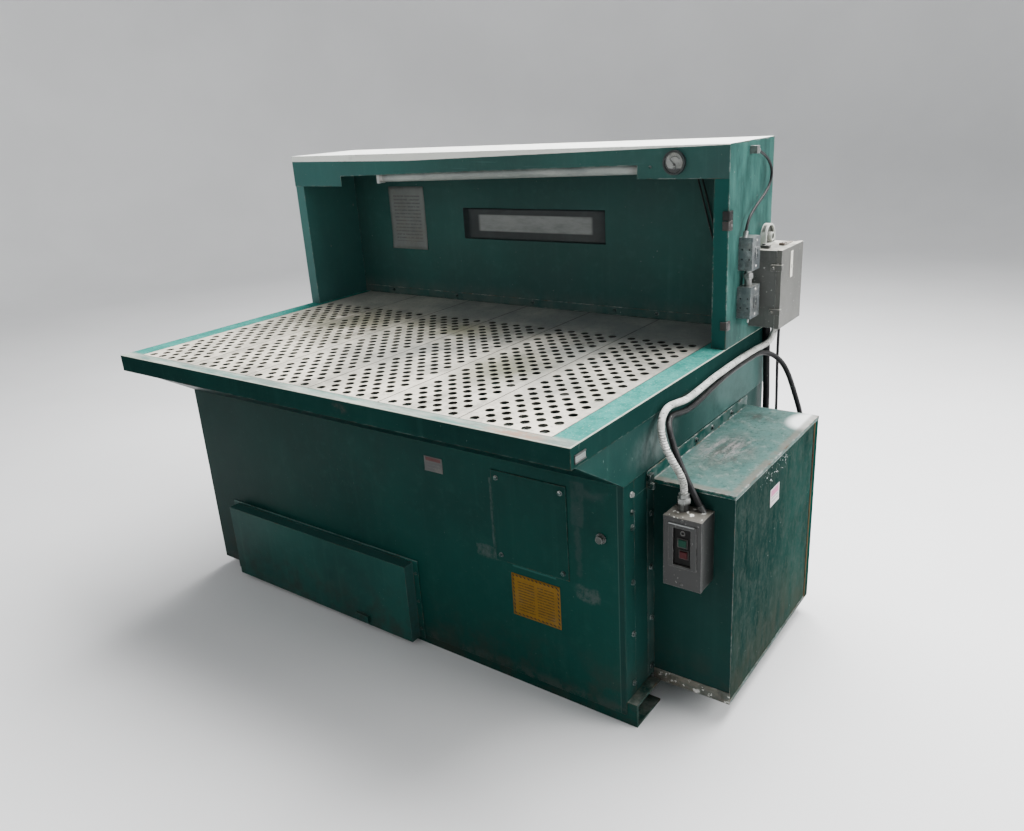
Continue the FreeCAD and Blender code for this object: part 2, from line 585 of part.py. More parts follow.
# ---------------------------------------------------------------- blower box
def blower_box():
    """Casing on the right side: front, outer side, overhanging top, bottom pan and grille."""
    inner = CAB_HALF
    front = block(inner, BOX_OUT, BOX_FRONT, BOX_FRONT + THIN, BOX_BOTTOM + THIN, BOX_TOP)
    flange = block(inner, inner + THIN, BOX_FRONT - 40, BOX_FRONT, BOX_BOTTOM + 30, BOX_TOP)
    save("blower_box_front", fuse(front, flange))
    side = block(BOX_OUT - THIN, BOX_OUT, BOX_FRONT + THIN, BOX_REAR - THIN,
                 BOX_BOTTOM + THIN, BOX_TOP)
    save("blower_box_side", side)
    out = BOX_OUT + 3
    top = block(inner, out, BOX_FRONT - 3, BOX_REAR, BOX_TOP, BOX_TOP + THIN)
    front_lip = block(inner + THIN, out, BOX_FRONT - 3, BOX_FRONT - 1, BOX_TOP - 10, BOX_TOP)
    side_lip = block(out - THIN, out, BOX_FRONT - 3, BOX_REAR, BOX_TOP - 10, BOX_TOP)
    upstand = block(inner, inner + 3, BOX_FRONT - 40, BOX_REAR, BOX_TOP + THIN, SKIRT_Z - 8)
    tab = block(inner, inner + 3, BOX_FRONT - 40, BOX_FRONT - 3, BOX_TOP, BOX_TOP + THIN)
    save("blower_box_top", fuse(top, front_lip, side_lip, upstand, tab))
    pan = block(inner, BOX_OUT, BOX_FRONT, BOX_REAR - THIN, BOX_BOTTOM, BOX_BOTTOM + THIN)
    front_turn = block(inner + THIN, BOX_OUT + THIN, BOX_FRONT - THIN, BOX_FRONT,
                       BOX_BOTTOM, BOX_BOTTOM + 40)
    side_turn = block(BOX_OUT, BOX_OUT + THIN, BOX_FRONT, BOX_REAR - 40,
                      BOX_BOTTOM, BOX_BOTTOM + 12)
    save("blower_box_bottom", fuse(pan, front_turn, side_turn))
    rear = block(inner, BOX_OUT, BOX_REAR - THIN, BOX_REAR, BOX_BOTTOM, BOX_TOP)
    wrap = block(BOX_OUT, BOX_OUT + THIN, BOX_REAR - 40, BOX_REAR, BOX_BOTTOM, BOX_TOP - 11)
    grille = fuse(rear, wrap)
    slots = []
    for row in range(11):
        z = BOX_BOTTOM + 42 + row * 17.5
        slots.append(block(1020, 1200, BOX_REAR - THIN - 1, BOX_REAR + 1, z, z + 9))
    save("exhaust_grille", grille.cut(Part.makeCompound(slots)))


# ---------------------------------------------------------------- hood
def hood():
    """Box-section sides, back panel with rear skin, top and stepped fascia."""
    post_x = TABLE_HALF - POST_W
    side = extrude_z([(TABLE_HALF, HOOD_FRONT), (TABLE_HALF, HOOD_REAR),
                      (TABLE_HALF - THIN, HOOD_REAR), (TABLE_HALF - THIN, HOOD_FRONT + THIN),
                      (post_x + THIN, HOOD_FRONT + THIN), (post_x + THIN, HOOD_BACK),
                      (post_x, HOOD_BACK), (post_x, HOOD_FRONT)],
                     TABLE_TOP, HOOD_TOP - THIN)
    corner = []
    for edge in side.Edges:
        ends = [v.Point for v in edge.Vertexes]
        if all(abs(p.x - TABLE_HALF) < 0.1 and abs(p.y - HOOD_FRONT) < 0.1 for p in ends):
            corner.append(edge)
    side = side.makeFillet(1.8, corner)
    save("hood_right", side)
    save("hood_left", mirror_x(side))
    inside = TABLE_HALF - THIN
    panel = block(-post_x - THIN, post_x + THIN, HOOD_BACK, HOOD_BACK + THIN,
                  TABLE_TOP, HOOD_TOP - THIN)
    half = GRATE_COUNT * GRATE_W / 2
    panel = fuse(panel, block(-half, half, HOOD_BACK, HOOD_BACK + THIN,
                              TABLE_TOP - 20, TABLE_TOP))
    angle = block(-post_x, post_x, HOOD_BACK - 3, HOOD_BACK, TABLE_TOP, TABLE_TOP + 30)
    skin = block(-inside, inside, HOOD_REAR - THIN, HOOD_REAR, TABLE_TOP - 30, HOOD_TOP - THIN)
    save("hood_back", panel, angle, skin)
    y0 = HOOD_FRONT - THIN
    fold = extrude_y([*TOP_FOLD, (TABLE_HALF, HOOD_TOP), (-TABLE_HALF, HOOD_TOP)],
                     y0 - FOLD_T, y0)
    cover = block(-TABLE_HALF, TABLE_HALF, y0 - FOLD_T, HOOD_REAR, HOOD_TOP - THIN, HOOD_TOP)
    save("hood_top", fuse(cover, fold))
    left_x, left_z = FASCIA_LEFT
    right_x, right_z = FASCIA_RIGHT
    left_up, right_up = FASCIA_MIDDLE
    under_top = HOOD_TOP - THIN
    sheet = extrude_y([(-TABLE_HALF, left_z), (left_x, left_z), (left_x, left_up),
                       (right_x, right_up), (right_x, right_z), (TABLE_HALF, right_z),
                       (TABLE_HALF, under_top), (-TABLE_HALF, under_top)], y0, HOOD_FRONT)
    lip = extrude_y([(left_x, left_up), (right_x, right_up), (right_x, right_up + THIN),
                     (left_x, left_up + THIN)], HOOD_FRONT, HOOD_FRONT + 15)
    hole = rod(31, (GAUGE_X, y0 - 1, GAUGE_Z), (0, 1, 0), 4)
    save("hood_fascia", fuse(sheet, lip).cut(hole))


def hood_light():
    """Lamp channel under the hood's top, two lampholders, and the tube, lower at the left."""
    under_top = HOOD_TOP - THIN
    channel = block(-520, 700, 172, 262, 1606, under_top)
    channel = channel.cut(block(-518, 698, 174, 260, 1608, under_top + 1))
    left_holder = block(-520, -506, 176, 210, 1536, 1606)
    right_holder = block(686, 700, 176, 210, 1556, 1606)
    save("light_fixture", fuse(channel, left_holder, right_holder))
    save("light_tube", rod(19, (-505, 193, 1559), (1190, 0, 21), 1190))


def pressure_gauge():
    """Flush gauge: bezel and body in one case, with a needle on a fixed pin."""
    face_y = HOOD_FRONT - THIN
    dial_y = face_y - 4
    bezel = rod(GAUGE_R, (GAUGE_X, face_y - 13, GAUGE_Z), (0, 1, 0), 13)
    body = rod(30, (GAUGE_X, face_y, GAUGE_Z), (0, 1, 0), 34)
    recess = rod(GAUGE_R - 5.5, (GAUGE_X, face_y - 14, GAUGE_Z), (0, 1, 0), dial_y - face_y + 14)
    pivot = GAUGE_Z - 6
    pin = rod(1.5, (GAUGE_X, dial_y - 5, pivot), (0, 1, 0), 5)
    ports = []
    for side in (-1, 1):
        ports.append(rod(4, (GAUGE_X + side * GAUGE_PORT, face_y + 34, GAUGE_Z), (0, 1, 0), 1))
    save("gauge_case", fuse(bezel.cut(recess), body, pin, *ports))
    hub = ring(4, 1.55, (GAUGE_X, dial_y - 4, pivot), (0, 1, 0), 2)
    needle = extrude_y([(GAUGE_X - 2.2, pivot - 8), (GAUGE_X + 2.2, pivot - 8),
                        (GAUGE_X + 0.8, pivot + 23), (GAUGE_X - 0.8, pivot + 23)],
                       dial_y - 3.6, dial_y - 2.6)
    needle = needle.cut(rod(3, (GAUGE_X, dial_y - 4, pivot), (0, 1, 0), 2))
    pointer = fuse(hub, needle)
    pointer.rotate(V(GAUGE_X, 0, pivot), V(0, 1, 0), -40)
    save("gauge_pointer", pointer)


# ---------------------------------------------------------------- switches on the hood
def switch_box(bounds):
    """A pressed steel outlet box with its cover plate; the cover has a toggle slot."""
    y0, y1, z0, z1 = bounds
    face = TABLE_HALF + SWITCH_DEPTH
    middle_y = (y0 + y1) / 2
    middle_z = (z0 + z1) / 2
    box = block(TABLE_HALF, face - 2, y0, y1, z0, z1)
    box = box.cut(block(TABLE_HALF + 2, face, y0 + 2, y1 - 2, z0 + 2, z1 - 2))
    cover = block(face - 2, face, y0 - 1, y1 + 1, z0 - 1, z1 + 1)
    frame = block(face, face + 4, middle_y - 13, middle_y + 13, middle_z - 20, middle_z + 20)
    slot = block(face - 3, face + 5, middle_y - 5, middle_y + 5, middle_z - 13, middle_z + 13)
    return box, fuse(cover, frame).cut(slot)


def toggle(bounds):
    """Lever with a round barrel; it points down at rest and turns about Y."""
    y0, y1, z0, z1 = bounds
    pivot_x = TABLE_HALF + SWITCH_DEPTH - 3
    middle_y = (y0 + y1) / 2
    middle_z = (z0 + z1) / 2
    barrel = rod(4.5, (pivot_x, middle_y - 4, middle_z), (0, 1, 0), 8)
    lever = Part.makeCone(3.2, 4.0, 20, V(pivot_x, middle_y, middle_z), V(1, 0, 0))
    piece = fuse(barrel, lever)
    piece.rotate(V(pivot_x, 0, middle_z), V(0, 1, 0), 25)
    return piece


def hood_switches():
    """Two boxes one above the other, joined by a conduit nipple."""
    save("switch_boxes", *switch_box(UPPER_BOX), *switch_box(LOWER_BOX))
    save("toggle_upper", toggle(UPPER_BOX))
    save("toggle_lower", toggle(LOWER_BOX))


# ---------------------------------------------------------------- control enclosure
def control_enclosure():
    """Wall box with a hinged pan door, the controls inside, and the door's two clamps."""
    y0, y1, z0, z1 = ENCL
    wall = 1.6
    body = block(TABLE_HALF, ENCL_FACE, y0, y1, z0, z1)
    body = body.cut(block(TABLE_HALF + wall, ENCL_FACE + 1, y0 + wall, y1 - wall,
                          z0 + wall, z1 - wall))
    rim = block(ENCL_FACE - wall, ENCL_FACE, y0, y1, z0, z1)
    rim = rim.cut(block(ENCL_FACE - 3, ENCL_FACE + 1, y0 + 12, y1 - 12, z0 + 12, z1 - 12))
    body = fuse(body, rim)
    pins = []
    knuckles = []
    for z in (z0 + 30, z1 - 80):
        pins.append(rod(2, (HINGE_X, HINGE_Y, z), (0, 0, 1), 50))
        knuckle = rod(4, (HINGE_X, HINGE_Y, z), (0, 0, 1), 24)
        leaf = block(HINGE_X - 14, HINGE_X, y1, HINGE_Y, z, z + 24)
        knuckles.append(fuse(knuckle, leaf))
    save("enclosure_body", fuse(body, *knuckles, *pins))
    outer = ENCL_FACE + 1 + DOOR_T
    door = block(ENCL_FACE + 1, outer, y0 - 2, y1 + 2, z0 - 2, z1 + 2)
    door = door.cut(block(ENCL_FACE, outer - wall, y0 - 0.4, y1 + 0.4, z0 - 0.4, z1 + 0.4))
    leaves = []
    for z in (z0 + 54.5, z1 - 55.5):
        knuckle = rod(4, (HINGE_X, HINGE_Y, z), (0, 0, 1), 25)
        leaf = block(HINGE_X, HINGE_X + 13, y1 + 2, HINGE_Y + 1, z, z + 25)
        knuckle = fuse(knuckle, leaf)
        leaves.append(knuckle.cut(rod(2.05, (HINGE_X, HINGE_Y, z - 1), (0, 0, 1), 27)))
    door = fuse(door, *leaves)
    clamps = []
    for z in (z0 + 45, z1 - 65):
        arm = block(ENCL_FACE - 16, outer + 3, y0 - 9, y0 - 2, z, z + 20)
        hook = block(outer, outer + 3, y0 - 2, y0 + 8, z, z + 20)
        screw = rod(4, (ENCL_FACE - 6, y0 - 19, z + 10), (0, 1, 0), 10)
        clamps.append(fuse(arm, hook, screw))
    save("enclosure_door", door, *clamps)
    plate_x = TABLE_HALF + wall + 4
    plate = block(plate_x, plate_x + 2, y0 + 20, y1 - 20, z0 + 25, z1 - 20)
    contactor = block(plate_x + 2, plate_x + 62, y0 + 40, y0 + 90, z1 - 120, z1 - 40)
    transformer = block(plate_x + 2, plate_x + 52, y1 - 90, y1 - 35, z1 - 110, z1 - 45)
    strip = block(plate_x + 2, plate_x + 24, y0 + 35, y1 - 40, z0 + 50, z0 + 76)
    spacers = [block(TABLE_HALF + wall, plate_x, y, y + 12, z0 + 40, z0 + 52)
               for y in (y0 + 30, y1 - 42)]
    save("enclosure_controls", fuse(plate, contactor, transformer, strip, *spacers))


# ---------------------------------------------------------------- push-button starter
def starter():
    """Starter box on the blower box's front: body, windowed cover, unit and two buttons."""
    x0, x1, z0, z1 = STARTER
    back = BOX_FRONT
    seam = STARTER_FRONT + 12
    body = block(x0 + 1, x1 - 1, seam, back, z0 + 1, z1 - 1)
    body = body.cut(block(x0 + 3, x1 - 3, seam - 1, back - 2, z0 + 3, z1 - 3))
    save("starter_box", body)
    cover = block(x0, x1, STARTER_FRONT, seam, z0, z1)
    cover = cover.cut(block(x0 + 2, x1 - 2, STARTER_FRONT + 2, seam + 1, z0 + 2, z1 - 2))
    frame = block(1082, 1167, STARTER_FRONT - 4, STARTER_FRONT, 540, 676)
    window = block(1097, 1150, STARTER_FRONT - 5, STARTER_FRONT + 3, 547, 664)
    save("starter_cover", fuse(cover, frame).cut(window))
    unit = block(1087, 1160, STARTER_FRONT + 2.5, back - 2, 536, 675)
    for x_low, x_high, z_low, z_high in (START_BUTTON, STOP_BUTTON):
        unit = unit.cut(block(x_low - 0.6, x_high + 0.6, STARTER_FRONT + 2, STARTER_FRONT + 20,
                              z_low - 0.6, z_high + 0.6))
    save("starter_unit", unit)
    for name, box in (("start_button", START_BUTTON), ("stop_button", STOP_BUTTON)):
        x_low, x_high, z_low, z_high = box
        proud = 3 if name == "start_button" else 5
        button = block(x_low, x_high, STARTER_FRONT - proud, STARTER_FRONT + 14, z_low, z_high)
        face_edges = [edge for edge in button.Edges
                      if abs(edge.CenterOfMass.y - STARTER_FRONT + proud) < 0.1]
        save(name, button.makeFillet(1.5, face_edges))


# ---------------------------------------------------------------- cables and fittings
def cables():
    """Conduits and cables along the right side, and the cord between gland and switch box."""
    save("side_conduit", tube("side_conduit", SIDE_CONDUIT, SIDE_CONDUIT_D))
    save("black_conduit", tube("black_conduit", BLACK_CONDUIT, BLACK_CONDUIT_D))
    runs = [tube("riser", RISER, RISER_D), tube("thin_cable", THIN_CABLE, THIN_CABLE_D)]
    for side in (-1, 1):
        route = [(GAUGE_X + side * GAUGE_PORT + x, y, GAUGE_Z + z) for x, y, z in GAUGE_TUBE]
        runs.append(tube("gauge_tube", route, GAUGE_TUBE_D))
    save("cable_runs", *runs)
    save("hood_cord", tube("hood_cord", HOOD_CORD, HOOD_CORD_D))


def connector(start, direction, radius, length, nut=True):
    """Conduit connector: a round body, with a hex nut round its middle where it has room."""
    body = rod(radius, start, direction, length)
    if not nut:
        return body
    nut_start = V(*start) + V(*direction) * (length * 0.45)
    return fuse(body, hex_prism(radius * 2.3, tuple(nut_start), direction, length * 0.3))


def leaning_connector(end, following, radius, box_top):
    """Connector that leans with its cable, cut off level with the top of its box."""
    direction = V(*end) - V(*following)
    direction.normalize()
    body = Part.makeCylinder(radius, 45, V(*end), direction)
    x, y, z = end
    return body.cut(block(x - 60, x + 60, y - 60, y + 60, box_top - 60, box_top))


def conduit_fittings():
    """Connectors at both ends of every conduit, the nipple, the gland and the tube union."""
    up = (0, 0, 1)
    down = (0, 0, -1)
    out = (1, 0, 0)
    rear = (0, 1, 0)
    box_top = STARTER[3] - 1
    x, y, z = SIDE_CONDUIT[0]
    fittings = [connector((x, y, box_top), up, 15, z - box_top)]
    fittings.append(leaning_connector(BLACK_CONDUIT[0], BLACK_CONDUIT[1], 11, box_top))
    x, y, z = BLACK_CONDUIT[-1]
    fittings.append(connector((x, BOX_REAR, z), rear, 13, y - BOX_REAR))
    bottom = ENCL[2]
    for (x, y, z), radius in ((SIDE_CONDUIT[-1], 12), (RISER[0], 13), (THIN_CABLE[0], 8)):
        fittings.append(connector((x, y, bottom), down, radius, bottom - z, nut=False))
    x, y, z = THIN_CABLE[-1]
    fittings.append(connector((CAB_HALF, y, z), out, 8, x - CAB_HALF))
    x, y, z = RISER[-1]
    elbow = block(CAB_HALF, x + 17, y - 16, y + 16, z - 62, z - 18)
    fittings.append(fuse(elbow, rod(15, (x, y, z - 18), up, 18)))
    nipple_x = TABLE_HALF + 22
    middle_y = (UPPER_BOX[0] + UPPER_BOX[1]) / 2
    fittings.append(connector((nipple_x, middle_y, LOWER_BOX[3]), up, 12,
                              UPPER_BOX[2] - LOWER_BOX[3]))
    fittings.append(leaning_connector(HOOD_CORD[-1], HOOD_CORD[-2], 8, UPPER_BOX[3] + 1))
    x, y, z = HOOD_CORD[0]
    gland = block(TABLE_HALF, TABLE_HALF + 24, y - 36, y - 14, z - 8, z + 16)
    inward = V(x, y, z) - V(*HOOD_CORD[1])
    inward.normalize()
    fittings.append(fuse(gland, Part.makeCylinder(8, 20, V(x, y, z), inward)))
    x, y, z = GAUGE_TUBE[-1]
    union_x = GAUGE_X + x
    union_z = GAUGE_Z + z
    fittings.append(block(union_x - 20, union_x + 20, y - 4, HOOD_BACK, union_z - 14, union_z))
    save("conduit_fittings", *fittings)


def supply_hub():
    """Arched cast box on the hood's side, standing on the enclosure, with an open hub."""
    y0, y1, foot, shoulder = ARCH
    middle = (y0 + y1) / 2

    def arch(inset, x0, x1, z0):
        radius = middle - y0 - inset
        upright = block(x0, x1, middle - radius, middle + radius, z0, shoulder)
        crown = rod(radius, (x0, middle, shoulder), (1, 0, 0), x1 - x0)
        below = block(x0, x1, y0, y1, shoulder - 2 * radius, z0)
        return upright.fuse(crown).cut(below)

    face = TABLE_HALF + ARCH_DEPTH
    floor = TABLE_HALF + 8
    body = arch(0, TABLE_HALF, face, foot).cut(arch(5.5, floor, face + 1, foot + 3))
    hub = rod(15, (floor, *HUB_CENTRE), (1, 0, 0), face + 2 - floor)
    bore = rod(11, (TABLE_HALF + 2, *HUB_CENTRE), (1, 0, 0), ARCH_DEPTH + 2)
    save("supply_hub", fuse(body, hub).cut(bore))


def cabinet_bolts():
    """Hex bolts of the panels and flanges, the pressure-tap plug and a corner clip."""
    right = (1, 0, 0)
    front = (0, -1, 0)
    bolts = []
    for z in (756, 700, 653, 475, 299, 124):
        bolts.append(bolt_head((CAB_HALF, CAB_FRONT + 46, z), right))
    for z in (650, 472, 295, 118):
        bolts.append(bolt_head((CAB_HALF + THIN, BOX_FRONT - 20, z), right))
    for y in (-57, 67, 227):
        bolts.append(bolt_head((CAB_HALF + 3, y, 772), right))
    x0, x1, z0, z1 = ACCESS
    for x in (x0 + 20, x1 - 20):
        for z in (z0 + 22, z1 - 24):
            bolts.append(bolt_head((x, CAB_FRONT - SHEET, z), front, 11))
    for x in (-760, -380, 27, 415, 596, 850):
        bolts.append(bolt_head((x, HOOD_BACK - 3, TABLE_TOP + 18), front, 11))
    bolts.append(bolt_head((727, HOOD_FRONT - THIN, 1587), front, 7))
    bolts.append(fuse(rod(16, (914, CAB_FRONT, 620), front, 4),
                      rod(11, (914, CAB_FRONT - 4, 620), front, 12)))
    clip = fuse(block(CAB_HALF + 3, CAB_HALF + 14, BOX_FRONT - 44, BOX_FRONT - 18, 756, 782),
                block(CAB_HALF + 3, CAB_HALF + 22, BOX_FRONT - 40, BOX_FRONT - 30, 738, 756))
    bolts.append(clip)
    save("cabinet_bolts", *bolts)


def main():
    os.makedirs("parts", exist_ok=True)
    base_channels()
    floor_pan()
    front_panel()
    side_and_rear_panels()
    table_skirt()
    table_rim()
    grate_bearers()
    for index in range(GRATE_COUNT):
        grate(index)
    access_panel()
    dust_drawer()
    tube_sheet()
    filter_cartridges()
    blower_motor()
    blower_wheel()
    blower_housing()
    blower_box()
    hood()
    hood_light()
    pressure_gauge()
    hood_switches()
    control_enclosure()
    starter()
    cables()
    conduit_fittings()
    supply_hub()
    cabinet_bolts()


main()
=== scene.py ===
"""Looks of a downdraft finishing table: camera, lights, cords, materials and small pieces.

Units are metres, in the CAD frame: X left to right, Y front to back, Z up, with the origin on
the floor under the middle of the cabinet.
"""
import itertools
import math

import bmesh
import bpy
from mathutils import Matrix, Vector


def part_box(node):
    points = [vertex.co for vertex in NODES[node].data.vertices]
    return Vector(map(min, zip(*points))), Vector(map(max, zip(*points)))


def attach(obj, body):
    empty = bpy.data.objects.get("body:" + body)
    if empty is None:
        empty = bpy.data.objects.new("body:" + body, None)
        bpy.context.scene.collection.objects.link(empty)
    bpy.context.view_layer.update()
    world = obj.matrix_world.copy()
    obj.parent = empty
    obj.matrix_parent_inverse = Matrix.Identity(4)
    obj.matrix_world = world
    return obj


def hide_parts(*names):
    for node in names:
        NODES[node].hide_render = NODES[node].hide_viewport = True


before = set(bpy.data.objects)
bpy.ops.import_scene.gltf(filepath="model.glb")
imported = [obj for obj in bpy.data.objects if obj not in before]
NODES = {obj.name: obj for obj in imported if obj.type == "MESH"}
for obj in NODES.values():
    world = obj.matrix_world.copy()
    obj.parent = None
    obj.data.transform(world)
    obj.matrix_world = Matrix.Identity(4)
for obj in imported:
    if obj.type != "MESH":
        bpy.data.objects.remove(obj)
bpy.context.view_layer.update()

# Linear colours that several materials share.
TEAL = (0.010, 0.150, 0.122)
TEAL_DEEP = (0.006, 0.098, 0.082)
TEAL_FADED = (0.055, 0.230, 0.190)
DUST = (0.400, 0.390, 0.340)
GRIME = (0.030, 0.028, 0.022)
RUST = (0.110, 0.045, 0.018)
BARE = (0.380, 0.390, 0.370)

# Faces that small pieces and worn patches are set out from.
RIM_LOW, RIM_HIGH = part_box("table_rim")
FRONT_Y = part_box("front_panel")[0].y
HOOD_LOW, HOOD_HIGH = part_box("hood_right")
HOOD_TOP_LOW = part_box("hood_top")[0]
HOOD_BACK_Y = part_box("hood_back")[0].y + 0.003
PLATE_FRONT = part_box("grate_1")[0].y
PLATE_W = (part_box("grate_6")[1].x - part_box("grate_1")[0].x) / 6
BOX_LOW, BOX_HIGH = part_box("blower_box_side")
BLOWER_TOP = BOX_HIGH.z + 0.002
ACCESS_LOW, ACCESS_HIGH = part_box("access_panel")
STARTER_LOW, STARTER_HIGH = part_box("starter_cover")
DOOR_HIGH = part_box("enclosure_door")[1]
BODY_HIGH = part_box("enclosure_body")[1]


# ---------------------------------------------------------------- camera, floor and lights
def make_camera():
    """A camera turned left of the object's front, pitched down and rolled a little."""
    place = (2.03195, -2.38319, 1.78978)
    turn = math.radians(37.167)
    pitch = math.radians(19.864)
    roll = math.radians(-3.675)
    forward = Vector((-math.sin(turn) * math.cos(pitch), math.cos(turn) * math.cos(pitch),
                      -math.sin(pitch)))
    level = Vector((math.cos(turn), math.sin(turn), 0))
    upright = level.cross(forward)
    right = level * math.cos(roll) + upright * math.sin(roll)
    up = upright * math.cos(roll) - level * math.sin(roll)
    data = bpy.data.cameras.new("camera")
    data.sensor_width = 36.0
    data.lens = 29.82
    camera = bpy.data.objects.new("camera", data)
    camera.matrix_world = Matrix(((right.x, up.x, -forward.x, place[0]),
                                  (right.y, up.y, -forward.y, place[1]),
                                  (right.z, up.z, -forward.z, place[2]), (0, 0, 0, 1)))
    bpy.context.scene.collection.objects.link(camera)
    bpy.context.scene.camera = camera


def area_light(name, place, target, size, power, colour=(1, 1, 1)):
    """A rectangular soft light aimed at a point."""
    data = bpy.data.lights.new(name, "AREA")
    data.shape = "RECTANGLE"
    data.size, data.size_y = size
    data.energy = power
    data.color = colour
    light = bpy.data.objects.new(name, data)
    light.location = place
    aim = Vector(target) - Vector(place)
    light.rotation_mode = "QUATERNION"
    light.rotation_quaternion = aim.to_track_quat("-Z", "Y")
    bpy.context.scene.collection.objects.link(light)


def make_lights():
    area_light("top_light", (0.6, 1.7, 4.6), (0.2, 0.0, 0.8), (5.0, 3.0), 860)
    area_light("right_light", (5.0, 1.2, 2.6), (1.0, 0.1, 1.0), (3.0, 2.6), 230)
    area_light("front_fill", (-1.6, -5.4, 3.4), (0.0, -0.5, 0.9), (3.4, 2.0), 30)
    world = bpy.data.worlds.new("studio")
    bpy.context.scene.world = world
    world.use_nodes = True
    background = world.node_tree.nodes["Background"]
    background.inputs["Color"].default_value = 0.94, 0.97, 1.0, 1
    background.inputs["Strength"].default_value = 0.4


def spin_profile(name, profile, centre, axis, steps=48):
    """A round piece: (radius, distance along the axis) points turned about the axis."""
    mesh = bmesh.new()
    along = Vector(axis).normalized()
    turn = along.to_track_quat("Z", "Y").to_matrix()
    rings = []
    for k in range(steps):
        angle = 2 * math.pi * k / steps
        rings.append([mesh.verts.new(Vector(centre) + turn @ Vector((r * math.cos(angle),
                                                                     r * math.sin(angle), d))) for r,
                      d in profile])
    for one, two in zip(rings, rings[1:] + rings[:1]):
        for a, b, c, d in zip(one, one[1:], two[1:], two):
            mesh.faces.new((a, b, c, d))
    bmesh.ops.remove_doubles(mesh, verts=mesh.verts, dist=1e-06)
    bmesh.ops.dissolve_degenerate(mesh, edges=mesh.edges, dist=1e-06)
    bmesh.ops.recalc_face_normals(mesh, faces=mesh.faces)
    return to_object(name, mesh)


def to_object(name, mesh, smooth_angle=35.0):
    """Link a bmesh as an object, with sharp edges kept by angle."""
    data = bpy.data.meshes.new(name)
    mesh.to_mesh(data)
    mesh.free()
    piece = bpy.data.objects.new(name, data)
    bpy.context.scene.collection.objects.link(piece)
    data.polygons.foreach_set("use_smooth", [True] * len(data.polygons))
    data.set_sharp_from_angle(angle=math.radians(smooth_angle))
    return piece


def make_floor():
    """A pale floor that curves up into a round backdrop."""
    profile = [(0.0, 0.0), (3.0, 0.0), (8.0, 0.0)]
    for k in range(1, 13):
        angle = math.pi / 2 * k / 12
        profile.append((8.0 + 3.0 * math.sin(angle), 3.0 - 3.0 * math.cos(angle)))
    profile.append((11.0, 4.5))
    floor = spin_profile("floor", profile, (0, 0, 0), (0, 0, 1), 96)
    s = Shader("floor_paper")
    tone = s.mix(s.cloud(0.3, 0.7, 0.8, 3), (0.84, 0.84, 0.84), (0.88, 0.88, 0.88))
    s.colour = tone
    s.finish(0.9)
    dress(floor, s)


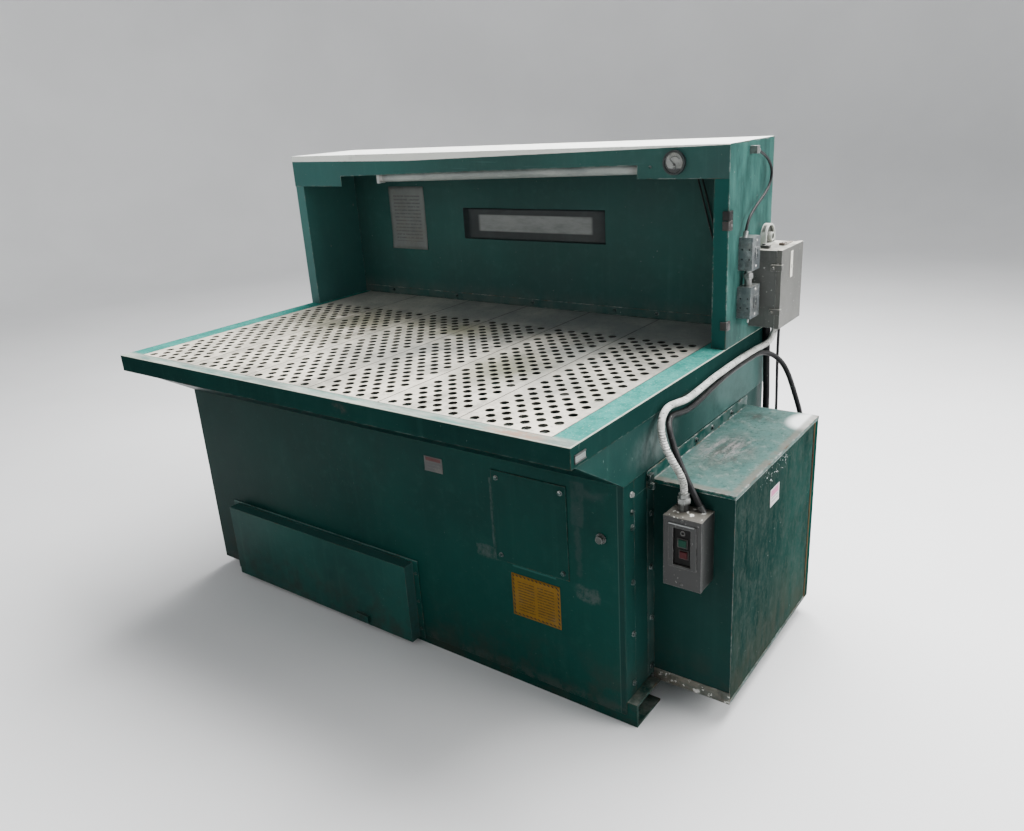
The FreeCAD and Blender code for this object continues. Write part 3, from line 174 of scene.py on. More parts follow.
# ---------------------------------------------------------------- shaders
class Shader:
    """A node material. Its methods add nodes and return output sockets.

    Masks are 0 to 1. colour is what the coats so far have made of the surface.
    """

    def __init__(self, name, gloss=None):
        self.material = bpy.data.materials.new(name)
        self.material.use_nodes = True
        self.tree = self.material.node_tree
        self.surface = self.tree.nodes["Principled BSDF"]
        if gloss is not None:
            self.surface.inputs["Specular IOR Level"].default_value = gloss
        self.place = self.node("ShaderNodeTexCoord").outputs["Object"]
        self.x, self.y, self.z = self.node("ShaderNodeSeparateXYZ", Vector=self.place).outputs
        self.facing = self.node("ShaderNodeNewGeometry").outputs["Normal"]

    def feed(self, socket, value):
        if isinstance(value, bpy.types.NodeSocket):
            self.tree.links.new(value, socket)
        elif socket.type == "RGBA" and len(value) == 3:
            socket.default_value = (*value, 1)
        else:
            socket.default_value = value

    def node(self, kind, **inputs):
        made = self.tree.nodes.new(kind)
        for name, value in inputs.items():
            self.feed(made.inputs[name], value)
        return made

    def calc(self, operation, *values):
        made = self.tree.nodes.new("ShaderNodeMath")
        made.operation = operation
        for socket, value in zip(made.inputs, values):
            self.feed(socket, value)
        return made.outputs[0]

    def scaled(self, value, factor, offset):
        return self.calc("MULTIPLY_ADD", value, factor, offset)

    def both(self, *masks):
        """The product of several masks or numbers."""
        result = masks[0]
        for mask in masks[1:]:
            result = self.calc("MULTIPLY", result, mask)
        return result

    def either(self, *masks):
        """The largest of several masks."""
        result = masks[0]
        for mask in masks[1:]:
            result = self.calc("MAXIMUM", result, mask)
        return result

    def without(self, mask):
        return self.calc("SUBTRACT", 1.0, mask)

    def vector(self, operation, *values):
        made = self.tree.nodes.new("ShaderNodeVectorMath")
        made.operation = operation
        for socket, value in zip(made.inputs, values):
            self.feed(socket, value)
        return made.outputs["Value" if operation in ("LENGTH", "DOT_PRODUCT") else "Vector"]

    def ramp(self, value, low, high):
        """0 at low and 1 at high, smooth between them. High may be the smaller one."""
        made = self.tree.nodes.new("ShaderNodeMapRange")
        made.interpolation_type = "SMOOTHSTEP"
        self.feed(made.inputs["Value"], value)
        made.inputs["From Min"].default_value = min(low, high)
        made.inputs["From Max"].default_value = max(low, high)
        if high < low:
            made.inputs["To Min"].default_value = 1.0
            made.inputs["To Max"].default_value = 0.0
        return made.outputs["Result"]

    def moved(self, stretch, shift):
        return self.vector("MULTIPLY_ADD", self.place, stretch, (shift, shift * 1.7, shift * 2.3))

    def noise(self, scale, detail=4.0, roughness=0.55, stretch=(1, 1, 1), shift=0.0):
        made = self.node("ShaderNodeTexNoise", Vector=self.moved(stretch, shift), Scale=scale,
                         Detail=detail, Roughness=roughness)
        return made.outputs[0]

    def cloud(self, low, high, *args, **place):
        """A ramp over the noise that the rest of the arguments describe."""
        return self.ramp(self.noise(*args, **place), low, high)

    def cells(self, scale):
        """A random grey for each cell of a crystal pattern."""
        made = self.node("ShaderNodeTexVoronoi", Vector=self.moved((1, 1, 1), 0.0), Scale=scale)
        return self.node("ShaderNodeSeparateColor", Color=made.outputs["Color"]).outputs[0]

    def mix(self, share, first, second):
        made = self.tree.nodes.new("ShaderNodeMix")
        made.data_type = "RGBA"
        self.feed(made.inputs[0], share)
        self.feed(made.inputs[6], first)
        self.feed(made.inputs[7], second)
        return made.outputs[2]

    def coat(self, tone, *masks):
        """Lay a tone over the colour so far, where all the masks are 1."""
        self.colour = self.mix(self.both(*masks), self.colour, tone)

    def spot(self, centre, size, soft=0.6):
        """1 round a point, fading to 0 at size (x, y, z) away from it."""
        away = self.vector("DIVIDE", self.vector("SUBTRACT", self.place, centre), size)
        return self.ramp(self.vector("LENGTH", away), 1.0, 1.0 - soft)

    def patch(self, low, high, soft=0.003, ragged=0.0):
        """1 inside a box whose limits may be None, with soft and ragged edges."""
        parts = []
        wander = self.scaled(self.noise(22, 5, 0.65), ragged, -ragged / 2)
        for axis, a, b in zip((self.x, self.y, self.z), low, high):
            if a is None and b is None:
                continue
            value = self.calc("ADD", axis, wander) if ragged else axis
            if a is not None:
                parts.append(self.ramp(value, a - soft, a + soft))
            if b is not None:
                parts.append(self.ramp(value, b + soft, b - soft))
        return self.both(*parts)

    def ends(self, low, high, inner, outer):
        """1 within outer of either end of x, fading to 0 at inner from it."""
        return self.either(self.ramp(self.x, low.x + inner, low.x + outer),
                           self.ramp(self.x, high.x - inner, high.x - outer))

    def upward(self, low=0.5, high=0.9):
        """1 on faces that look up."""
        z = self.node("ShaderNodeSeparateXYZ", Vector=self.facing).outputs[2]
        return self.ramp(z, low, high)

    def rounded(self, width):
        made = self.node("ShaderNodeBevel", Radius=width)
        made.samples = 4
        return made.outputs[0]

    def edges(self, width):
        """1 along edges, where a normal rounded over the width turns from the face's."""
        turned = self.vector("DOT_PRODUCT", self.rounded(width), self.facing)
        return self.ramp(turned, 0.985, 0.86)

    def finish(self, rough, waves=None, grain=None, metal=None, soften=0.0):
        """Set the surface. waves and grain are (height, depth in metres)."""
        self.feed(self.surface.inputs["Base Color"], self.colour)
        self.feed(self.surface.inputs["Roughness"], rough)
        if metal is not None:
            self.feed(self.surface.inputs["Metallic"], metal)
        normal = self.rounded(soften) if soften else None
        for layer in (waves, grain):
            if layer is None:
                continue
            height, depth = layer
            bump = self.node("ShaderNodeBump", Height=height, Distance=depth, Strength=1.0)
            if normal is not None:
                self.feed(bump.inputs["Normal"], normal)
            normal = bump.outputs[0]
        if normal is not None:
            self.feed(self.surface.inputs["Normal"], normal)


def dress(piece, shader):
    """Give a piece one material."""
    piece.data.materials.clear()
    piece.data.materials.append(shader.material)


def dress_nodes(shader, *names):
    for name in names:
        dress(NODES[name], shader)


def shaded(colour, shade):
    return tuple(shade * c for c in colour)


def paint(name, shade=0.35, dust=0.35, wear=0.75, streaks=0.35, grime=0.5, edge=0.004, extra=None,
          bare=BARE, gloss=0.14, haze=0.0):
    """Teal enamel on sheet steel: uneven colour, runs, a grey haze, dust, chips and worn edges."""
    s = Shader(name, gloss)
    # shade scales all of the sheet's teal. The sheets get different shades, which paint in the light and
    # shade of each place.
    faded = shaded(TEAL_FADED, shade)
    s.colour = s.mix(s.cloud(0.35, 0.65, 1.4, 3), shaded(TEAL_DEEP, shade), shaded(TEAL, shade))
    s.coat(faded, s.cloud(0.48, 0.78, 26, 6, 0.7), 0.3)
    s.coat(faded, s.cloud(0.5, 0.8, 7, 6, 0.65, stretch=(5, 5, 0.22), shift=3.1), streaks)
    s.coat(faded, s.cloud(0.6, 0.74, 5, 8, 0.75, stretch=(0.5, 0.5, 6.0), shift=8.3), streaks * 0.6)
    s.coat(shaded((0.085, 0.1, 0.105), shade), s.scaled(s.noise(4, 5, 0.6, shift=12.0), 0.6, 0.7), haze)
    top = s.upward()
    powder = s.cloud(0.34, 0.72, 9, 9, 0.72, shift=1.3)
    dusty = s.both(top, powder, dust)
    s.coat(DUST, dusty)
    if extra:
        extra(s)
    low = s.both(s.ramp(s.z, 0.3, 0.02), s.cloud(0.4, 0.66, 12, 7, 0.7), grime)
    s.coat(GRIME, low)
    s.coat(bare, s.cloud(0.735, 0.755, 95, 3, 0.6, shift=5.0), wear)
    broken = s.cloud(0.42, 0.6, 34, 6, 0.75, shift=2.0)
    worn = s.both(s.edges(edge), broken, wear)
    s.coat(s.mix(s.cloud(0.45, 0.6, 18, 4), bare, RUST), worn)
    rough = s.calc("ADD", s.scaled(s.noise(6, 6, 0.7), 0.22, 0.24),
                   s.both(s.either(dusty, low, worn), 0.4))
    s.finish(rough, waves=(s.noise(2.6, 2, 0.4), 0.004), grain=(s.noise(240, 3, 0.6), 0.00018),
             soften=0.0015)
    return s


# The functions named *_marks coat a sheet's paint with what its place has done to it, and some
# also paint in light and shade. A coat is its tone, where it lies, how patchy it is, and how strong.
def front_marks(s):
    """Glue residue round the access cover and a scraped foot, with painted shade on the folded side and
    towards the left, and a painted highlight down the corner bend.
    """
    x0, z0 = ACCESS_LOW.x, ACCESS_LOW.z
    x1, z1 = ACCESS_HIGH.x, ACCESS_HIGH.z
    pale = s.either(s.patch((x0 - 0.085, None, z0 - 0.006), (x0 + 0.012, None, z0 + 0.034), 0.006, 0.05),
                    s.patch((x1 + 0.022, None, z0 - 0.05), (x1 + 0.104, None, z0 - 0.004), 0.007, 0.05),
                    s.patch((x0 - 0.012, None, z0 + 0.04), (x0 - 0.004, None, z1 - 0.03), 0.002, 0.008))
    faint = s.either(s.patch((x1 + 0.014, None, 0.64), (x1 + 0.058, None, 0.78), 0.004, 0.02),
                     s.patch((x1 + 0.026, None, 0.47), (x1 + 0.044, None, 0.64), 0.006, 0.04),
                     s.patch((x1 + 0.05, None, 0.735), (x1 + 0.13, None, 0.758), 0.01, 0.05))
    s.coat((0.05, 0.068, 0.064), pale, s.cloud(0.34, 0.62, 40, 8, 0.78), 0.8)
    s.coat((0.026, 0.044, 0.042), faint, s.cloud(0.25, 0.6, 30, 8, 0.75), 0.55)
    line = s.patch((x0 + 0.06, None, z0 - 0.01), (x1 - 0.05, None, z0 - 0.004), 0.002, 0.006)
    s.coat((0.03, 0.11, 0.095), line, 0.5)
    # Painted shade: the folded side is darker.
    s.coat((0.008, 0.024, 0.022), s.ramp(s.x, RIM_HIGH.x - 0.0245, RIM_HIGH.x - 0.0235), 0.55)
    # Painted highlight: a pale line down the corner bend.
    s.coat((0.045, 0.08, 0.075), s.patch((0.9665, None, None), (0.9695, None, None), 0.0012, 0.002), 0.5)
    # Painted shade: darker towards the left end.
    s.coat((0.001, 0.012, 0.01), s.ramp(s.x, -0.2, -0.75), 0.5)
    s.coat((0.05, 0.055, 0.05), s.ramp(s.z, 0.085, 0.036), s.cloud(0.42, 0.58, 22, 6, 0.7), 0.5)
    s.coat((0.09, 0.11, 0.1), s.cloud(0.72, 0.75, 130, 2, shift=11.0), 0.5)


def rim_marks(s):
    """A top painted much lighter than the sides, which is painted light with some rubbed paint in it,
    paler wear along the front, painted highlights along the top edges, and rust near the right end.
    """
    top = s.upward()
    mottle = s.cloud(0.3, 0.7, 26, 8, 0.75)
    # Painted light: the top is far lighter than the sides, with some rubbing in it.
    s.coat(s.mix(mottle, (0.018, 0.165, 0.138), (0.06, 0.29, 0.25)), top, 0.95)
    s.coat((0.26, 0.42, 0.38), top, s.cloud(0.6, 0.66, 150, 3, shift=3.3), 0.45)
    front = s.both(top, s.ramp(s.y, RIM_LOW.y + 0.06, RIM_LOW.y + 0.03),
                   s.cloud(0.24, 0.56, 7, 8, 0.75, stretch=(0.5, 3, 1)))
    worn_tone = s.mix(s.cloud(0.35, 0.65, 5, 7, 0.75, stretch=(1, 4, 1), shift=1.9), (0.48, 0.48, 0.42),
                      (0.19, 0.215, 0.195))
    s.coat(worn_tone, front, 0.85)
    rust = s.both(s.spot((0.815, RIM_LOW.y + 0.02, RIM_HIGH.z), (0.13, 0.05, 0.03), 0.7), top,
                  s.cloud(0.34, 0.56, 30, 7, 0.75))
    s.coat((0.33, 0.205, 0.15), rust, 0.85)
    smear = s.both(s.spot((0.18, RIM_LOW.y, 0.985), (0.05, 0.05, 0.022), 0.7),
                   s.cloud(0.42, 0.62, 28, 7, 0.75, shift=4.0), s.without(top), 0.5)
    s.coat((0.06, 0.048, 0.046), smear)
    # Painted highlight: cream lines along the top outer edges.
    corner = s.either(s.both(top, s.either(s.ramp(s.x, RIM_HIGH.x - 0.005, RIM_HIGH.x - 0.003),
                                           s.ramp(s.y, RIM_LOW.y + 0.005, RIM_LOW.y + 0.003))),
                      s.both(s.ramp(s.z, RIM_HIGH.z - 0.0022, RIM_HIGH.z - 0.0012), s.without(top)))
    corner = s.both(corner, s.cloud(0.26, 0.42, 14, 6, 0.7, stretch=(1, 1, 4)), 0.85)
    s.coat((0.52, 0.54, 0.46), corner)
    s.coat((0.2, 0.24, 0.22), s.cloud(0.7, 0.73, 60, 5, 0.7, stretch=(3, 0.3, 3), shift=7.7), 0.5)


def top_marks(s):
    """Grey worn paint, brown rubbed patches, a white corner, and bare edges."""
    up = s.upward()
    s.coat((0.075, 0.155, 0.142), up, s.cloud(0.22, 0.62, 3.5, 9, 0.78, stretch=(1, 0.6, 1)), 0.75)
    brown = s.both(up, s.either(s.spot((1.1, -0.06, BLOWER_TOP), (0.13, 0.24, 0.05), 0.9),
                                s.spot((1.08, 0.27, BLOWER_TOP), (0.09, 0.06, 0.05), 0.9)),
                   s.cloud(0.38, 0.56, 9, 9, 0.8, stretch=(2.2, 0.8, 1), shift=8.8))
    s.coat((0.055, 0.052, 0.046), brown, 0.8)
    s.coat((0.27, 0.29, 0.26), up, s.cloud(0.5, 0.66, 34, 9, 0.8, shift=5.5), 0.4)
    fan = s.cloud(0.44, 0.58, 5.0, 9, 0.82, stretch=(7, 1.6, 1), shift=4.4)
    s.coat((0.3, 0.27, 0.265), s.spot((1.08, -0.04, BLOWER_TOP), (0.11, 0.15, 0.05), 0.9), fan, up, 0.7)
    s.coat((0.02, 0.05, 0.045), up, s.cloud(0.52, 0.62, 70, 6, 0.75, shift=6.3), 0.6)
    white = s.both(s.spot((1.225, 0.3, BLOWER_TOP), (0.075, 0.105, 0.06), 0.5),
                   s.cloud(0.22, 0.36, 24, 6, 0.7), up)
    s.coat((0.92, 0.95, 0.93), white)
    lip = s.both(s.either(s.ramp(s.y, BOX_LOW.y + 0.03, BOX_LOW.y + 0.012),
                          s.ramp(s.x, BOX_HIGH.x - 0.028, BOX_HIGH.x - 0.012)), up,
                 s.cloud(0.3, 0.52, 18, 7, 0.75), 0.7)
    s.coat((0.15, 0.13, 0.11), lip)
    s.coat((0.085, 0.12, 0.112), s.ramp(s.x, 1.004, 0.99), s.cloud(0.4, 0.62, 20, 6, 0.7), 0.6)


def side_marks(s):
    """Grey-green upright streaks and white specks on the blower box's outer side."""
    s.coat((0.032, 0.054, 0.048), s.cloud(0.22, 0.8, 9, 8, 0.78, stretch=(2, 3, 0.55), shift=6.1), 0.6)
    s.coat((0.02, 0.062, 0.052), s.ramp(s.y, -0.1, 0.3), s.cloud(0.25, 0.65, 5, 5, 0.6, shift=2.6), 0.55)
    s.coat((0.05, 0.062, 0.055), s.cloud(0.44, 0.68, 46, 9, 0.8, stretch=(1, 1, 0.6), shift=9.4), 0.5)
    specks = s.both(s.spot((BOX_HIGH.x, -0.03, 0.712), (0.05, 0.14, 0.038), 0.6),
                    s.cloud(0.645, 0.665, 110, 2, shift=2.2))
    s.coat((0.62, 0.64, 0.62), specks)
    base = s.both(s.ramp(s.z, 0.42, 0.1), s.cloud(0.38, 0.66, 7, 6, 0.7, stretch=(1, 2, 0.5)), 0.6)
    s.coat((0.04, 0.046, 0.036), base)


def rust_edge_marks(s):
    """Rusty front edge of the rear strip round the blower box's corner."""
    strip = s.patch((BOX_HIGH.x - 0.001, BOX_HIGH.y - 0.04, None), (None, BOX_HIGH.y - 0.026, None),
                    0.003, 0.012)
    rust = s.both(strip, s.cloud(0.34, 0.5, 26, 7, 0.75, stretch=(1, 1, 0.4)))
    s.coat((0.07, 0.05, 0.026), rust)
    s.coat((0.035, 0.022, 0.015), s.patch((None, None, 0.5), (None, None, 0.7), 0.05), rust)


def bare_base_marks(s):
    """The pan under the blower box lost its paint along the front."""
    bare = s.patch((None, None, None), (None, BOX_LOW.y, 0.15), 0.004, 0.004)
    tone = s.mix(s.cloud(0.35, 0.66, 16, 7, 0.75, stretch=(1, 1, 2)), (0.15, 0.135, 0.11),
                 (0.075, 0.09, 0.078))
    s.coat(tone, bare, 0.92)
    s.coat((0.62, 0.62, 0.58), bare, s.cloud(0.6, 0.64, 55, 3, shift=9.0))


def corner_marks(s):
    """Painted shade on the right side ahead of the blower box, with a joint at the third bolt."""
    # Painted shade: darker ahead of the blower box.
    ahead = s.both(s.ramp(s.y, BOX_LOW.y + 0.004, BOX_LOW.y - 0.006), s.ramp(s.x, 0.9, 0.92))
    s.coat((0.0055, 0.026, 0.023), ahead, 0.8)
    seam = s.both(s.patch((None, None, 0.7405), (None, None, 0.7425), 0.0008), ahead,
                  s.cloud(0.3, 0.5, 40, 5, 0.7), 0.6)
    s.coat((0.1, 0.14, 0.13), seam)


def box_front_marks(s):
    """Painted light makes the flange that bolts to the cabinet paler, in patches."""
    # Painted light on the flange, which lies in shade between the box and the cabinet.
    flange = s.both(s.ramp(s.y, BOX_LOW.y - 0.0025, BOX_LOW.y - 0.004), s.ramp(s.x, 1.02, 1.01))
    s.coat((0.014, 0.04, 0.036), flange, 0.85)
    s.coat((0.04, 0.06, 0.056), flange, s.cloud(0.45, 0.62, 16, 7, 0.75, stretch=(1, 1, 0.3)), 0.5)


def fascia_marks(s):
    """Slightly greyed paint, painted light towards the left end, and thin scratches."""
    # Painted light: lighter towards the left end.
    s.coat((0.05, 0.175, 0.168), s.ramp(s.x, 0.1, -0.85), 0.4)
    s.coat((0.06, 0.14, 0.13), s.cloud(0.66, 0.69, 50, 4, stretch=(0.15, 1, 3), shift=6.0), 0.35)


def hood_side_marks(s):
    """Chalky outer side with the faint arc that the cord has rubbed, and painted light on the front edge.
    """
    outside = s.ramp(s.x, HOOD_HIGH.x - 0.004, HOOD_HIGH.x - 0.001)
    bands = s.cloud(0.34, 0.68, 5, 8, 0.72, stretch=(1, 1.6, 0.5))
    s.coat((0.048, 0.138, 0.12), outside, bands, 0.85)
    away = s.vector("LENGTH", s.vector("SUBTRACT", s.place, (HOOD_HIGH.x, 0.36, 1.47)))
    arc = s.both(s.ramp(away, 0.148, 0.156), s.ramp(away, 0.17, 0.16), s.ramp(s.y, 0.34, 0.24),
                 s.ramp(s.z, 1.47, 1.52), outside, 0.3)
    s.coat((0.03, 0.11, 0.095), arc)
    # Painted light: the front edge is lighter.
    front = s.both(s.without(outside), s.ramp(s.y, HOOD_LOW.y + 0.006, HOOD_LOW.y + 0.002), 0.6)
    s.coat((0.01, 0.082, 0.074), front)


def hood_top_marks(s):
    """Near-white over nearly the whole top and its front fold: painted light for the glare on the top,
    over pale dust.
    """
    fold = s.both(s.ramp(s.y, HOOD_TOP_LOW.y + 0.004, HOOD_TOP_LOW.y + 0.002), 0.92)
    # Painted light: the top and fold are near white.
    s.coat((0.95, 0.97, 0.92), s.either(s.upward(), fold), s.cloud(0.16, 0.44, 3.5, 9, 0.75), 0.95)


def skirt_marks(s):
    """Grey smudges behind the cable bend, lighter towards the rear, and painted shade under the front."""
    smudge = s.both(s.spot((0.985, -0.33, 0.86), (0.08, 0.2, 0.09), 0.8),
                    s.cloud(0.34, 0.66, 7, 7, 0.72, stretch=(1, 1.4, 0.8), shift=2.9), 0.75)
    s.coat((0.12, 0.15, 0.145), smudge)
    s.coat((0.07, 0.14, 0.13), s.ramp(s.y, -0.2, 0.2), s.cloud(0.2, 0.6, 5, 6, 0.7), 0.65)
    tips = s.both(s.ramp(s.y, -0.4, -0.5), s.cloud(0.68, 0.72, 48, 4, 0.7, stretch=(1, 2, 0.5)), 0.6)
    s.coat((0.24, 0.34, 0.32), tips)
    # Painted shade: dark under the front of the skirt.
    s.coat((0.001, 0.01, 0.009), s.ramp(s.y, -0.5, -0.56), s.ramp(s.x, 0.985, 0.96), 0.9)


def drawer_marks(s):
    """Painted highlights: thin bright lines along the grip, a lit ledge and side, and a soft sheen on the
    front; and stained flange screws.
    """
    low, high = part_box("drawer_front")
    # Painted light on the ledge, which the table's overhang shades.
    ledge = s.both(s.upward(), s.ramp(s.z, high.z - 0.06, high.z - 0.05))
    s.coat((0.03, 0.1, 0.09), ledge, 0.85)
    lines = s.either(s.ramp(s.z, high.z - 0.0035, high.z - 0.0015),
                     s.both(ledge, s.ramp(s.y, low.y + 0.0045, low.y + 0.003)))
    s.coat((0.12, 0.2, 0.185), lines, s.cloud(0.28, 0.48, 16, 6, 0.7, stretch=(1, 3, 3)), 0.8)
    # Painted sheen: a soft lighter patch low on the left of the front.
    soft = s.both(s.spot((-0.25, low.y, 0.16), (0.2, 0.05, 0.12), 0.9), s.cloud(0.3, 0.6, 6, 4), 0.5)
    s.coat((0.016, 0.08, 0.066), soft)
    # Painted light on the drawer's right side.
    side = s.patch((high.x - 0.0252, None, None), (high.x - 0.0228, None, None), 0.0006)
    s.coat((0.03, 0.085, 0.078), side, 0.9)
    proud = s.ramp(s.y, -0.5278, -0.5284)
    outer = s.ends(low, high, 0.022, 0.02)
    s.coat((0.055, 0.07, 0.065), proud, outer, 0.6)


def back_panel_marks(s):
    """A smoky upper half, a grimy line above the work surface, and painted shade on the outside face."""
    s.coat((0.02, 0.055, 0.055), s.ramp(s.z, 1.2, 1.6), s.cloud(0.3, 0.7, 2.2, 6, 0.7), 0.55)
    low = s.both(s.ramp(s.z, 1.1, 1.02), s.cloud(0.35, 0.65, 9, 7, 0.7, stretch=(1, 1, 0.5)), 0.5)
    s.coat((0.11, 0.12, 0.105), low)
    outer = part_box("hood_back")[1].y
    # Painted shade: the outside is darker, since the sheet's shade is set high for the dim inside of the
    # hood.
    s.coat((0.0028, 0.04, 0.034), s.ramp(s.y, outer - 0.0012, outer - 0.0006), 0.75)


def left_side_marks(s):
    """The hood's left side is painted paler inside than outside, as painted light for the dim inside of
    the hood.
    """
    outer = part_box("hood_left")[0].x
    outside = s.both(s.ramp(s.x, outer + 0.0012, outer + 0.0006), 0.75)
    fascia_marks(s)
    # Painted shade: the outside face is darker.
    s.coat((0.0028, 0.04, 0.034), outside)


def grate_steel():
    """Zinc-coated plates: cream and olive stains, dark joints, painted shade that greys the plates away
    from the left front and under the hood, and painted shade on the hole walls.
    """
    s = Shader("grate_plate", 0.3)
    s.colour = s.mix(s.cloud(0.3, 0.7, 6, 9, 0.75), (0.6, 0.555, 0.455), (0.92, 0.85, 0.71))
    plates = s.calc("FLOOR", s.calc("DIVIDE", s.x, PLATE_W))
    seed = s.node("ShaderNodeCombineXYZ", X=plates, Y=3.3, Z=1.7).outputs[0]
    shade = s.node("ShaderNodeTexWhiteNoise", Vector=seed).outputs["Value"]
    s.coat((0.38, 0.39, 0.38), s.ramp(shade, 0.0, 1.0), 0.18)
    # Painted shade greys the plates away from the left front, which stays creamy.
    worn = s.both(s.ramp(s.x, -0.6, 0.1), s.ramp(s.y, -0.72, -0.3))
    s.coat((0.135, 0.15, 0.148), worn, s.cloud(0.22, 0.62, 2.4, 8, 0.72, shift=6.6), 0.82)
    olive = s.either(s.spot((-0.55, -0.05, 1.01), (0.5, 0.42, 0.2), 0.9),
                     s.spot((-0.1, 0.02, 1.01), (0.36, 0.26, 0.2), 0.9),
                     s.spot((0.45, -0.3, 1.01), (0.24, 0.3, 0.2), 0.9))
    s.coat((0.125, 0.125, 0.062), olive, s.cloud(0.34, 0.56, 4.0, 8, 0.75, shift=2.7), 0.75)
    smudge = s.both(s.cloud(0.46, 0.66, 3.0, 9, 0.8, stretch=(1, 0.6, 1), shift=16.6), 0.6)
    s.coat((0.085, 0.09, 0.082), smudge)
    # Painted shade: greyer under the hood at the rear.
    s.coat((0.25, 0.28, 0.285), s.ramp(s.y, 0.02, 0.3), 0.55)
    s.coat((0.12, 0.12, 0.11), s.cloud(0.5, 0.66, 60, 8, 0.8, shift=1.1), 0.45)
    inside_plate = s.calc("FRACT", s.calc("DIVIDE", s.calc("ADD", s.x, 3 * PLATE_W), PLATE_W))
    joint = s.without(s.both(s.ramp(inside_plate, 0.004, 0.012), s.ramp(inside_plate, 0.996, 0.988)))
    s.coat((0.09, 0.085, 0.075), joint, s.cloud(0.25, 0.5, 9, 5, 0.7), 0.85)
    s.coat((0.07, 0.07, 0.062), s.ramp(s.y, PLATE_FRONT + 0.0045, PLATE_FRONT + 0.002), 0.75)
    # Painted shade: the hole walls and plate edges are nearly black.
    s.coat((0.018, 0.019, 0.017), s.without(s.upward(0.3, 0.7)), 0.94)
    s.finish(s.scaled(s.noise(12, 7, 0.7), 0.3, 0.4), waves=(s.noise(7, 3), 0.001),
             grain=(s.noise(330, 3), 0.00012), metal=s.scaled(smudge, -0.15, 0.2), soften=0.0008)
    return s


def zinc(name, tone=(0.42, 0.44, 0.45), dirt=0.5, extra=None):
    """Galvanised sheet or die-cast zinc: spangle, white bloom and dirt."""
    s = Shader(name)
    shade = s.cells(85)
    s.colour = s.mix(s.both(shade, 0.8), tone, shaded(tone, 0.62))
    bloom = s.both(s.cloud(0.5, 0.75, 22, 6, 0.7), 0.45)
    s.coat((0.62, 0.63, 0.61), bloom)
    dirty = s.both(s.cloud(0.46, 0.68, 13, 7, 0.75, shift=3.0), dirt)
    s.coat((0.07, 0.065, 0.055), dirty)
    if extra:
        extra(s)
    s.coat(shaded((1.0, 1.02, 1.02), 0.62), s.edges(0.0016), s.cloud(0.38, 0.55, 50, 4), 0.6)
    s.coat(DUST, s.upward(), s.cloud(0.35, 0.6, 18, 6), 0.25)
    s.finish(s.scaled(shade, 0.18, 0.34), waves=(s.noise(14, 3), 0.0012), grain=(s.noise(400, 2), 0.0001),
             metal=s.scaled(s.either(dirty, bloom), -0.55, 0.8), soften=0.001)
    return s


def enamel(name, tone, dust=0.6, dirt=0.4, wear=0.6, extra=None):
    """Painted box in one enamel colour with dust, handling dirt and rubbed edges."""
    s = Shader(name)
    lighter = tuple(min(1.0, 1.25 * c) for c in tone)
    s.colour = s.mix(s.cloud(0.36, 0.66, 9, 7, 0.7), tone, lighter)
    s.coat(shaded(tone, 0.45), s.cloud(0.5, 0.74, 11, 6, 0.7, stretch=(3, 3, 0.3), shift=4.0), dirt)
    top = s.both(s.upward(), s.cloud(0.28, 0.6, 16, 8, 0.75, shift=2.0), dust)
    s.coat((0.58, 0.55, 0.47), top)
    if extra:
        extra(s)
    s.coat((0.6, 0.6, 0.57), s.cloud(0.7, 0.73, 120, 2, shift=7.0), wear)
    s.coat((0.5, 0.51, 0.49), s.edges(0.003), s.cloud(0.34, 0.55, 40, 5, 0.7), wear)
    rough = s.calc("ADD", s.scaled(s.noise(15, 6), 0.2, 0.3), s.both(top, 0.35))
    s.finish(rough, waves=(s.noise(6, 3), 0.001), grain=(s.noise(300, 3), 0.00012), soften=0.0014)
    return s


def plastic(name, tone, dirt=0.35, gloss=0.3):
    """Moulded plastic with fine texture, handling dirt and paler edges."""
    s = Shader(name, gloss)
    s.colour = s.mix(s.cloud(0.35, 0.7, 30, 6, 0.7), tone, tuple(0.8 * c + 0.003 for c in tone))
    s.coat((0.13, 0.12, 0.1), s.cloud(0.52, 0.72, 19, 7, 0.75, shift=2.0), dirt)
    s.coat(tuple(min(1.0, 1.6 * c + 0.02) for c in tone), s.edges(0.0015), 0.3)
    s.finish(s.scaled(s.noise(40, 4), 0.18, 0.32), grain=(s.noise(600, 2), 6e-05), soften=0.0008)
    return s


def bright_steel(name, tone=(0.52, 0.52, 0.50), rust=0.35):
    """Turned or plated steel with fine brushing and some rust."""
    s = Shader(name)
    brushing = s.noise(60, 5, 0.7, stretch=(0.2, 1, 1))
    s.colour = s.mix(s.ramp(brushing, 0.3, 0.7), tone, shaded(tone, 0.72))
    rusty = s.both(s.cloud(0.52, 0.66, 24, 7, 0.75), rust)
    s.coat(RUST, rusty)
    s.finish(s.scaled(rusty, 0.4, 0.3), grain=(brushing, 8e-05), metal=s.scaled(rusty, -0.8, 0.95),
             soften=0.0008)
    return s


